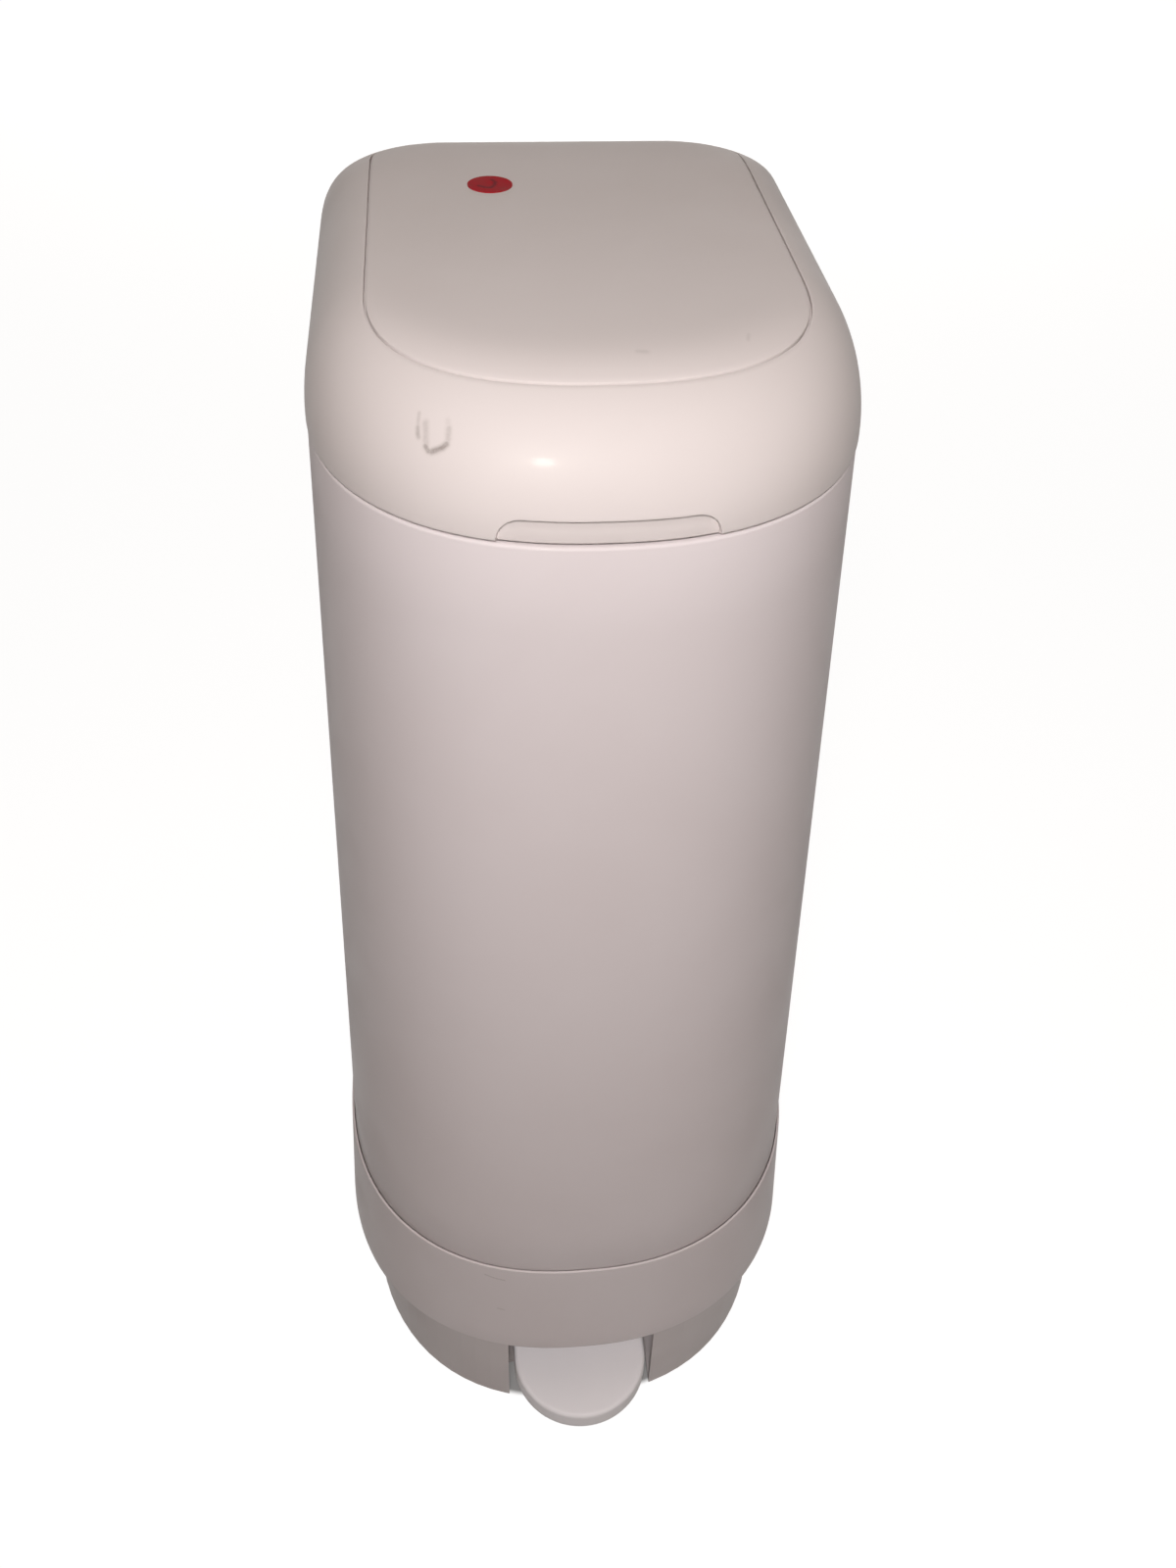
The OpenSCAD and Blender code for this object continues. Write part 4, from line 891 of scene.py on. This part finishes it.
def rear_columns():
    places = [("L", f) for f in np.linspace(0.012, 1.0, 22)[:-1]]
    places += [("CL", a) for a in np.linspace(0, 90, 17)]
    places += [("B", f) for f in np.linspace(0, 1, 12)[1:-1]]
    places += [("CR", a) for a in np.linspace(0, 90, 17)]
    places += [("R", f) for f in np.linspace(0.0, 0.988, 22)[1:]]
    cols = []
    for p in places:
        top = SHELL_TOP if plan_point(p, *rear_args(SEAM_Z, 0))[1] < STEP_Y else REAR_RIM
        if cols and top != cols[-1][1]:
            before, other = cols[-1]
            middle = (before[1] + p[1]) / 2
            cols.append(((p[0], middle), other))
            cols.append(((p[0], middle + NEXT), top))
        cols.append((p, top))
    wall = [wall_column(p, rear_args, REAR_BOTTOM, top, REAR_FILLET) for p, top in cols]
    first, last = (wall_column(p, rear_args, REAR_BOTTOM, SHELL_TOP, REAR_FILLET, SPLIT, SPLIT_IN)
                   for p in (("L", 0.0), ("R", 1.0)))
    return [first] + wall + [last]


make_mesh("housing_rear", *wall_mesh(rear_columns(), False),
          "base", "white_plastic", white_mat, ("body_housing",))


# ---------------- band

LIP_GAP, LIP_T = 0.4, 1.2               # the band's lip outside the front: its gap and its thickness
LIP_OUT = LIP_GAP + LIP_T
BAND_ROUND = 1.6                        # radius of the band's lower edge
BAND_TOP_EDGE = ((0.5, 0.02), (0.28, 0.12), (0.1, 0.3), (0.0, 0.6))    # below the top, set in
BAND_CENTRE_Y = 20.0
FLOOR_SHARES = (0.3, 0.7, 1.0)
UNDERSIDE_SHARES = (1.0, 0.6, 0.15)
STEP_ANGLE = 0.4                        # degrees between the two columns where the inside steps


def band_args(z, d):
    f = (z - BASE_TOP) / (SEAM_Z - BASE_TOP)
    return (mix(BAND_A, BODY_A + LIP_OUT, f) - d, mix(BAND_B, BODY_B + LIP_OUT, f) - d,
            BACK + LIP_OUT - d, REAR_R - d)


def to_band_centre(point, share, z):
    return np.array([point[0] * (1 - share), point[1] * (1 - share) + BAND_CENTRE_Y * share, z])


def band_column(place, behind):
    """Cross-section of the band with the housing's floor: a thin lip at the front, a full wall behind."""
    def at(z, d):
        x, y = plan_point(place, *band_args(z, d))
        return np.array([x, y, z])
    floor_z = BASE_TOP + WALL
    pts = []
    for a in (0, 22.5, 45, 67.5):
        r = math.radians(a)
        pts.append(at(BASE_TOP + BAND_ROUND * (1 - math.cos(r)), BAND_ROUND * (1 - math.sin(r))))
    pts += [at(z, 0) for z in np.linspace(BASE_TOP + BAND_ROUND, SEAM_Z - 0.8, 8)]
    pts += [at(SEAM_Z - below, d) for below, d in BAND_TOP_EDGE]
    top_t = WALL + LIP_OUT if behind else LIP_T
    pts.append(at(SEAM_Z, top_t - 0.2))
    for z in np.linspace(SEAM_Z - 0.2, floor_z, 5):
        pts.append(at(z, mix(WALL, top_t, (z - floor_z) / (SEAM_Z - floor_z))))
    edge = pts[-1]
    pts += [to_band_centre(edge, share, floor_z) for share in FLOOR_SHARES]
    edge = at(BASE_TOP, BAND_ROUND)
    pts += [to_band_centre(edge, share, BASE_TOP) for share in UNDERSIDE_SHARES]
    return pts


def band_columns():
    """Columns round the band, with a thin one beside a full one at each end of the front."""
    out = []
    for p in stations(front=110, side=12, corner=14, back=12):
        if p[0] != "F":
            out.append(band_column(p, True))
        elif 0 < p[1] < 180:
            out.append(band_column(p, False))
        elif p[1] == 0:
            out += [band_column(p, True), band_column(("F", STEP_ANGLE), False)]
        else:
            out += [band_column(("F", 180 - STEP_ANGLE), False), band_column(p, True)]
    return out


make_mesh("housing_band", *wall_mesh(band_columns(), True),
          "base", "white_plastic", white_mat, ("body_housing",), merge=SAME_PLACE)


# ---------------- housing: its inside

DETAIL_Z = BASE_TOP + WALL - 0.5        # a little inside the housing's floor
LUG_X = (107.0, 112.0)
LUG_R = 8.0
POST_X, POST_R, POST_HOLE_R, POST_TOP = 80.0, 6.0, 2.1, 83.0
POST_YS = (-58.0, 108.0)
DECK_BOSS_X, DECK_BOSS_R, DECK_BOSS_Z = 95.5, 6.0, (522.0, 556.0)
DECK_BOSS_YS = (30.0, 122.0)
WEB_X, WEB_HALF = 103.5, 3.0            # the web that joins each deck boss to the side wall


def housing_details(bm):
    """Pivot lugs, screw posts and the deck's bosses, inside the housing."""
    low, high = DECK_BOSS_Z
    for s in (-1, 1):
        x0, x1 = sorted(s * x for x in LUG_X)
        box_part(bm, (x0, TILT_Y - LUG_R, DETAIL_Z), (x1, TILT_Y + LUG_R, TILT_Z), 0.4)
        rod_part(bm, LUG_R, (x0, TILT_Y, TILT_Z), (x1, TILT_Y, TILT_Z), 0.4)
        for y in POST_YS:
            x = s * POST_X
            rod_part(bm, POST_R, (x, y, DETAIL_Z), (x, y, POST_TOP), 0.5, inner=POST_HOLE_R)
        for y in DECK_BOSS_YS:
            rod_part(bm, DECK_BOSS_R, (s * DECK_BOSS_X, y, low), (s * DECK_BOSS_X, y, high), 0.4)
            x0, x1 = sorted((s * DECK_BOSS_X, s * WEB_X))
            box_part(bm, (x0, y - WEB_HALF, low), (x1, y + WEB_HALF, high), 0.3)


part_object("housing_bosses", housing_details, "base", "white_plastic", white_mat)


# ---------------- pedal

PEDAL_TOP, PEDAL_RIM, PEDAL_R = 37.0, 13.0, 37.5        # top, depth of its rim, radius in plan
PEDAL_REACH = 156.0
PEDAL_FLAT_Y = PEDAL_R - PEDAL_REACH
PEDAL_BACK = -102.5
PEDAL_LOW = PEDAL_TOP - PEDAL_RIM
PEDAL_WALL, PEDAL_PLATE = 3.0, 3.5
PEDAL_CROWN = 0.4       # how far the top's rounded edge ends below the middle
PEDAL_EDGE_R = 2.4
RIM_ROWS = ((PEDAL_WALL, 0.0), (0.5, 0.0), (0.15, 0.15), (0.0, 0.5))    # set in, above the rim's lower edge
CROWN_ROWS = ((6.0, 0.3), (12.0, 0.15), (20.0, 0.04))                   # set in, below the top
MOST_INSET, SHRINK = 12.0, 24.0         # rows set in further shrink to the middle instead


def pedal_outline(d):
    """The pedal's outline from above, set in by d."""
    r = PEDAL_R - d
    back = PEDAL_BACK - d
    pts = [np.array([r * math.cos(a), PEDAL_FLAT_Y - r * math.sin(a)]) for a in np.linspace(0, math.pi, 48)]
    pts += [np.array([-r, y]) for y in np.linspace(PEDAL_FLAT_Y, back, 8)[1:]]
    pts += [np.array([x, back]) for x in np.linspace(-r, r, 12)[1:-1]]
    pts += [np.array([r, y]) for y in np.linspace(back, PEDAL_FLAT_Y, 8)[:-1]]
    return pts


def pedal_rows():
    """Set-in and height of each row, from the rim's lower edge up and over the top."""
    edge_z = PEDAL_TOP - PEDAL_CROWN
    rows = [(d, PEDAL_LOW + z) for d, z in RIM_ROWS]
    rows += [(0.0, z) for z in np.linspace(PEDAL_LOW + 3, edge_z - PEDAL_EDGE_R, 4)]
    for a in (20, 40, 60, 80, 90):
        q = math.radians(a)
        rows.append((PEDAL_EDGE_R * (1 - math.cos(q)), edge_z - PEDAL_EDGE_R * (1 - math.sin(q))))
    return rows + [(d, PEDAL_TOP - drop) for d, drop in CROWN_ROWS]


def pedal_plate():
    """Outer skin of the pedal, closed at its centre, and the hollow under it."""
    centre = np.array([0.0, PEDAL_FLAT_Y + PEDAL_WALL])
    rows = pedal_rows()
    n, m = len(pedal_outline(0.0)), len(rows)
    verts = []
    for d, z in rows:
        share = 1.0 if d <= MOST_INSET else 1 - (d - MOST_INSET) / SHRINK
        for p in pedal_outline(min(d, MOST_INSET)):
            x, y = mix(centre, p, share)
            verts.append([x, y, z])
    faces = []
    for k in range(m - 1):
        for i in range(n):
            j = (i + 1) % n
            faces.append((k * n + i, k * n + j, (k + 1) * n + j, (k + 1) * n + i))
    middle = len(verts)
    verts.append([centre[0], centre[1], PEDAL_TOP])
    faces += [((m - 1) * n + i, (m - 1) * n + (i + 1) % n, middle) for i in range(n)]
    base = len(verts)
    for z in (PEDAL_LOW, PEDAL_TOP - PEDAL_PLATE):
        verts += [[p[0], p[1], z] for p in pedal_outline(PEDAL_WALL)]
    for i in range(n):
        j = (i + 1) % n
        faces.append((base + i, base + j, base + n + j, base + n + i))
    faces.append(tuple(base + n + i for i in range(n)))
    return verts, faces


make_mesh("pedal_plate", *pedal_plate(), "pedal", "pedal_plastic", pedal_mat, ("pedal",), merge=SAME_PLACE)

LEVER_HALF, LEVER_Y, LEVER_Z = 12.0, (-106.0, 138.0), (26.0, 36.0)
LEVER_MID = sum(LEVER_Z) / 2
LEVER_EYES = ((-20.0, 8.0), (140.0, 5.0))       # y and radius, at the pivot and at the rod
RIBS = ((15.0, -136.0), (30.0, -124.0))         # x and front end of each pair of ribs under the plate
RIB_HALF, RIB_BACK, RIB_Z = 1.0, -104.0, (27.0, 34.0)


def pedal_lever(bm):
    """Lever under the pedal, with its two eyes and the ribs that carry the plate."""
    box_part(bm, (-LEVER_HALF, LEVER_Y[0], LEVER_Z[0]), (LEVER_HALF, LEVER_Y[1], LEVER_Z[1]), 1.0)
    for y, r in LEVER_EYES:
        rod_part(bm, r, (-LEVER_HALF, y, LEVER_MID), (LEVER_HALF, y, LEVER_MID), 0.5)
    for x, front in sorted((s * x, front) for x, front in RIBS for s in (-1, 1)):
        box_part(bm, (x - RIB_HALF, front, RIB_Z[0]), (x + RIB_HALF, RIB_BACK, RIB_Z[1]), 0.3)


part_object("pedal_lever", pedal_lever, "pedal", "pedal_plastic", pedal_mat)


# ---------------- marks

def on_lid(points):
    """Places on the lid's outside from x and y about the split line, in the frame."""
    return [(x, y + Y_SHIFT, lid_height(x, y)) for x, y in points]


def on_band(points):
    """Places on the front of the band from x and z, in the frame."""
    out = []
    for x, z in points:
        a, b, _, _ = band_args(z, 0)
        out.append((x, -b * (1 - (abs(x) / a) ** POWER) ** (1 / POWER) + Y_SHIFT, z))
    return out


# Colour of the real scuffs, also used for the painted shadow line under the band
SCUFF_AND_SHADOW_COLOR = (0.30, 0.262, 0.245)
# How much darker the base below the band is painted, as shade
BASE_PAINTED_SHADE = (0.87, 0.87, 0.86)
# Points, width and strength of each scuff
LID_SCUFFS = [
    (on_lid([(-60.1, -78.6), (-60.5, -80.2), (-60.8, -81.6)]), 1.2, 0.30),
    (on_lid([(-60.8, -81.6), (-60.9, -82.8), (-60.7, -83.7)]), 1.4, 0.55),
    (on_lid([(-58.2, -81.8), (-58.3, -84.2), (-58.4, -86.5)]), 2.0, 0.36),
    (on_lid([(-58.6, -86.4), (-57.8, -87.7), (-56.4, -88.4)]), 1.5, 0.75),
    (on_lid([(-56.6, -88.3), (-55.0, -88.7), (-53.2, -89.0), (-51.8, -88.8)]), 1.8, 0.9),
    (on_lid([(-51.9, -88.9), (-51.2, -88.0), (-50.9, -85.9)]), 1.9, 0.36),
    (on_lid([(-50.9, -85.9), (-51.1, -84.0)]), 1.7, 0.14),
    (on_lid([(12.0, -66.0), (14.5, -66.4)]), 2.0, 0.20),
    (on_lid([(50.5, -55.0), (49.6, -58.5)]), 1.2, 0.16),
]
BAND_SCUFFS = [
    (on_band([(-52.0, 132.0), (-47.0, 130.5), (-42.0, 130.0)]), 0.9, 0.35),
    (on_band([(-46.0, 102.0), (-43.0, 101.5)]), 1.2, 0.25),
]
add_marks(lid_nt, lid_shader, LID_SCUFFS, SCUFF_AND_SHADOW_COLOR)
add_marks(white_nt, white_shader, BAND_SCUFFS, SCUFF_AND_SHADOW_COLOR)
# Painted shade: the base below the band is drawn darker than the band
add_painted_lower_shade(white_nt, white_shader, BASE_TOP + 0.1, BASE_PAINTED_SHADE)
# Painted shadow: a dark line where the band's lower edge meets the base, standing in for the shade in that
# gap
add_painted_shadow_line(white_nt, white_shader, BASE_TOP + 0.4, half=1.3, strength=0.8, color=SCUFF_AND_SHADOW_COLOR)


# ---------------- camera and lamps, in metres

CAMERA_PLACE = (-0.0512, -0.5136, 0.8342)
CAMERA_YAW, CAMERA_PITCH, CAMERA_ROLL = 6.7, 42.5, -1.9
CAMERA_LENS, SENSOR_WIDTH = 32.92, 36.0
FLASH_TARGET = (0.0, -0.05, 0.42)


def add_camera():
    yaw, pitch, roll = (math.radians(v) for v in (CAMERA_YAW, CAMERA_PITCH, CAMERA_ROLL))
    ahead = np.array([math.sin(yaw) * math.cos(pitch), math.cos(yaw) * math.cos(pitch), -math.sin(pitch)])
    level = np.array([math.cos(yaw), -math.sin(yaw), 0])
    below = np.cross(ahead, level)
    right = math.cos(roll) * level + math.sin(roll) * below
    down = -math.sin(roll) * level + math.cos(roll) * below
    cam = bpy.data.cameras.new("camera")
    cam.sensor_width = SENSOR_WIDTH
    cam.lens = CAMERA_LENS
    cam.clip_start = 0.01
    ob = bpy.data.objects.new("camera", cam)
    rows = [(right[i], -down[i], -ahead[i], CAMERA_PLACE[i]) for i in range(3)]
    ob.matrix_world = Matrix((*rows, (0, 0, 0, 1)))
    bpy.context.scene.collection.objects.link(ob)
    bpy.context.scene.camera = ob


def add_area(name, place, target, size, power, color, glossy=True, diffuse=True):
    """Round lamp that looks from place to target, of a size in metres and a power in watts."""
    light = bpy.data.lights.new(name, "AREA")
    light.shape = "DISK"
    light.size = size
    light.energy = power
    light.color = color
    ob = bpy.data.objects.new(name, light)
    ob.location = place
    ob.rotation_euler = (Vector(target) - Vector(place)).to_track_quat("-Z", "Y").to_euler()
    ob.visible_glossy = glossy
    ob.visible_diffuse = diffuse
    bpy.context.scene.collection.objects.link(ob)


add_camera()
# The flash lights the bin by the key and shines on it by the glint
add_area("key", (-0.09, -0.72, 1.08), FLASH_TARGET, size=0.20, power=7.3,
         color=(1.0, 0.955, 0.95), glossy=False)
add_area("glint", (-0.15, -0.72, 1.09), FLASH_TARGET, size=0.10, power=6.0,
         color=(1.0, 0.98, 0.88), diffuse=False)
add_area("front_fill", (1.3, -1.9, 0.5), (0, 0, 0.25), size=1.2, power=3.4,
         color=(1.0, 0.96, 0.94))
add_area("back_fill", (0.4, 3.4, 0.5), (0, 0.1, 0.3), size=1.0, power=52.0,
         color=(1.0, 0.97, 0.95), glossy=False)


# ---------------- surroundings

WORLD_COLOR, WORLD_STRENGTH = (1.0, 0.82, 0.62, 1), 0.115
FLOOR_COLOR = (0.25, 0.245, 0.24, 1)
FLOOR_HALF = 30.0
# Where the floor's added brightness changes, 1 being the base's outline, and to what: low inside, a painted
# shadow under and round the bin's foot
GLOW_AND_SHADOW_STOPS = [(0.95, 0.10), (1.06, 0.90)]


def seen_by_camera(nt):
    """1 for what the camera sees, also by reflection or through glass, 0 for what lights the bin."""
    path = node(nt, "ShaderNodeLightPath")
    seen = math_node(nt, "MAXIMUM", path.outputs["Is Camera Ray"], path.outputs["Is Glossy Ray"])
    return math_node(nt, "MAXIMUM", seen, path.outputs["Is Transmission Ray"])


def add_world():
    """Dim warm light, behind which the camera sees plain white."""
    world = bpy.data.worlds.new("world")
    world.use_nodes = True
    nt = world.node_tree
    nt.nodes.clear()
    out = node(nt, "ShaderNodeOutputWorld")
    light = node(nt, "ShaderNodeBackground")
    light.inputs[0].default_value = WORLD_COLOR
    light.inputs[1].default_value = WORLD_STRENGTH
    white = node(nt, "ShaderNodeBackground")
    white.inputs[0].default_value = (1, 1, 1, 1)
    white.inputs[1].default_value = 1.0
    pick = node(nt, "ShaderNodeMixShader")
    nt.links.new(seen_by_camera(nt), pick.inputs[0])
    nt.links.new(light.outputs[0], pick.inputs[1])
    nt.links.new(white.outputs[0], pick.inputs[2])
    nt.links.new(pick.outputs[0], out.inputs[0])
    bpy.context.scene.world = world


def floor_glow_and_painted_shadow(nt):
    """Brightness that the camera sees added to the floor, held low under and just round the bin as a painted
    shadow.
    """
    x, y, _ = split_place(nt)
    powers = []
    for place, half in ((x, BASE_A), (y, BASE_B)):
        share = math_node(nt, "DIVIDE", math_node(nt, "ABSOLUTE", place), half * MM)
        powers.append(math_node(nt, "POWER", share, POWER))
    return ramp(nt, math_node(nt, "ADD", *powers), GLOW_AND_SHADOW_STOPS)


def add_floor():
    """Matt floor, which takes the bin's shadow, and which the camera sees brightened to nearly white except
    under and round the bin, where a painted shadow is left.
    """
    me = bpy.data.meshes.new("floor")
    s = FLOOR_HALF
    me.from_pydata([(-s, -s, 0), (s, -s, 0), (s, s, 0), (-s, s, 0)], [], [(0, 1, 2, 3)])
    ob = bpy.data.objects.new("floor", me)
    bpy.context.scene.collection.objects.link(ob)
    m = bpy.data.materials.new("floor")
    m.use_nodes = True
    nt = m.node_tree
    nt.nodes.clear()
    out = node(nt, "ShaderNodeOutputMaterial")
    matt = node(nt, "ShaderNodeBsdfDiffuse")
    matt.inputs[0].default_value = FLOOR_COLOR
    glow = node(nt, "ShaderNodeEmission")
    # The glow is masked down under the bin's foot: a painted shadow
    nt.links.new(math_node(nt, "MULTIPLY", seen_by_camera(nt), floor_glow_and_painted_shadow(nt)), glow.inputs[1])
    both = node(nt, "ShaderNodeAddShader")
    nt.links.new(matt.outputs[0], both.inputs[0])
    nt.links.new(glow.outputs[0], both.inputs[1])
    nt.links.new(both.outputs[0], out.inputs[0])
    me.materials.append(m)


add_world()
add_floor()
bpy.context.scene.view_settings.view_transform = "Standard"
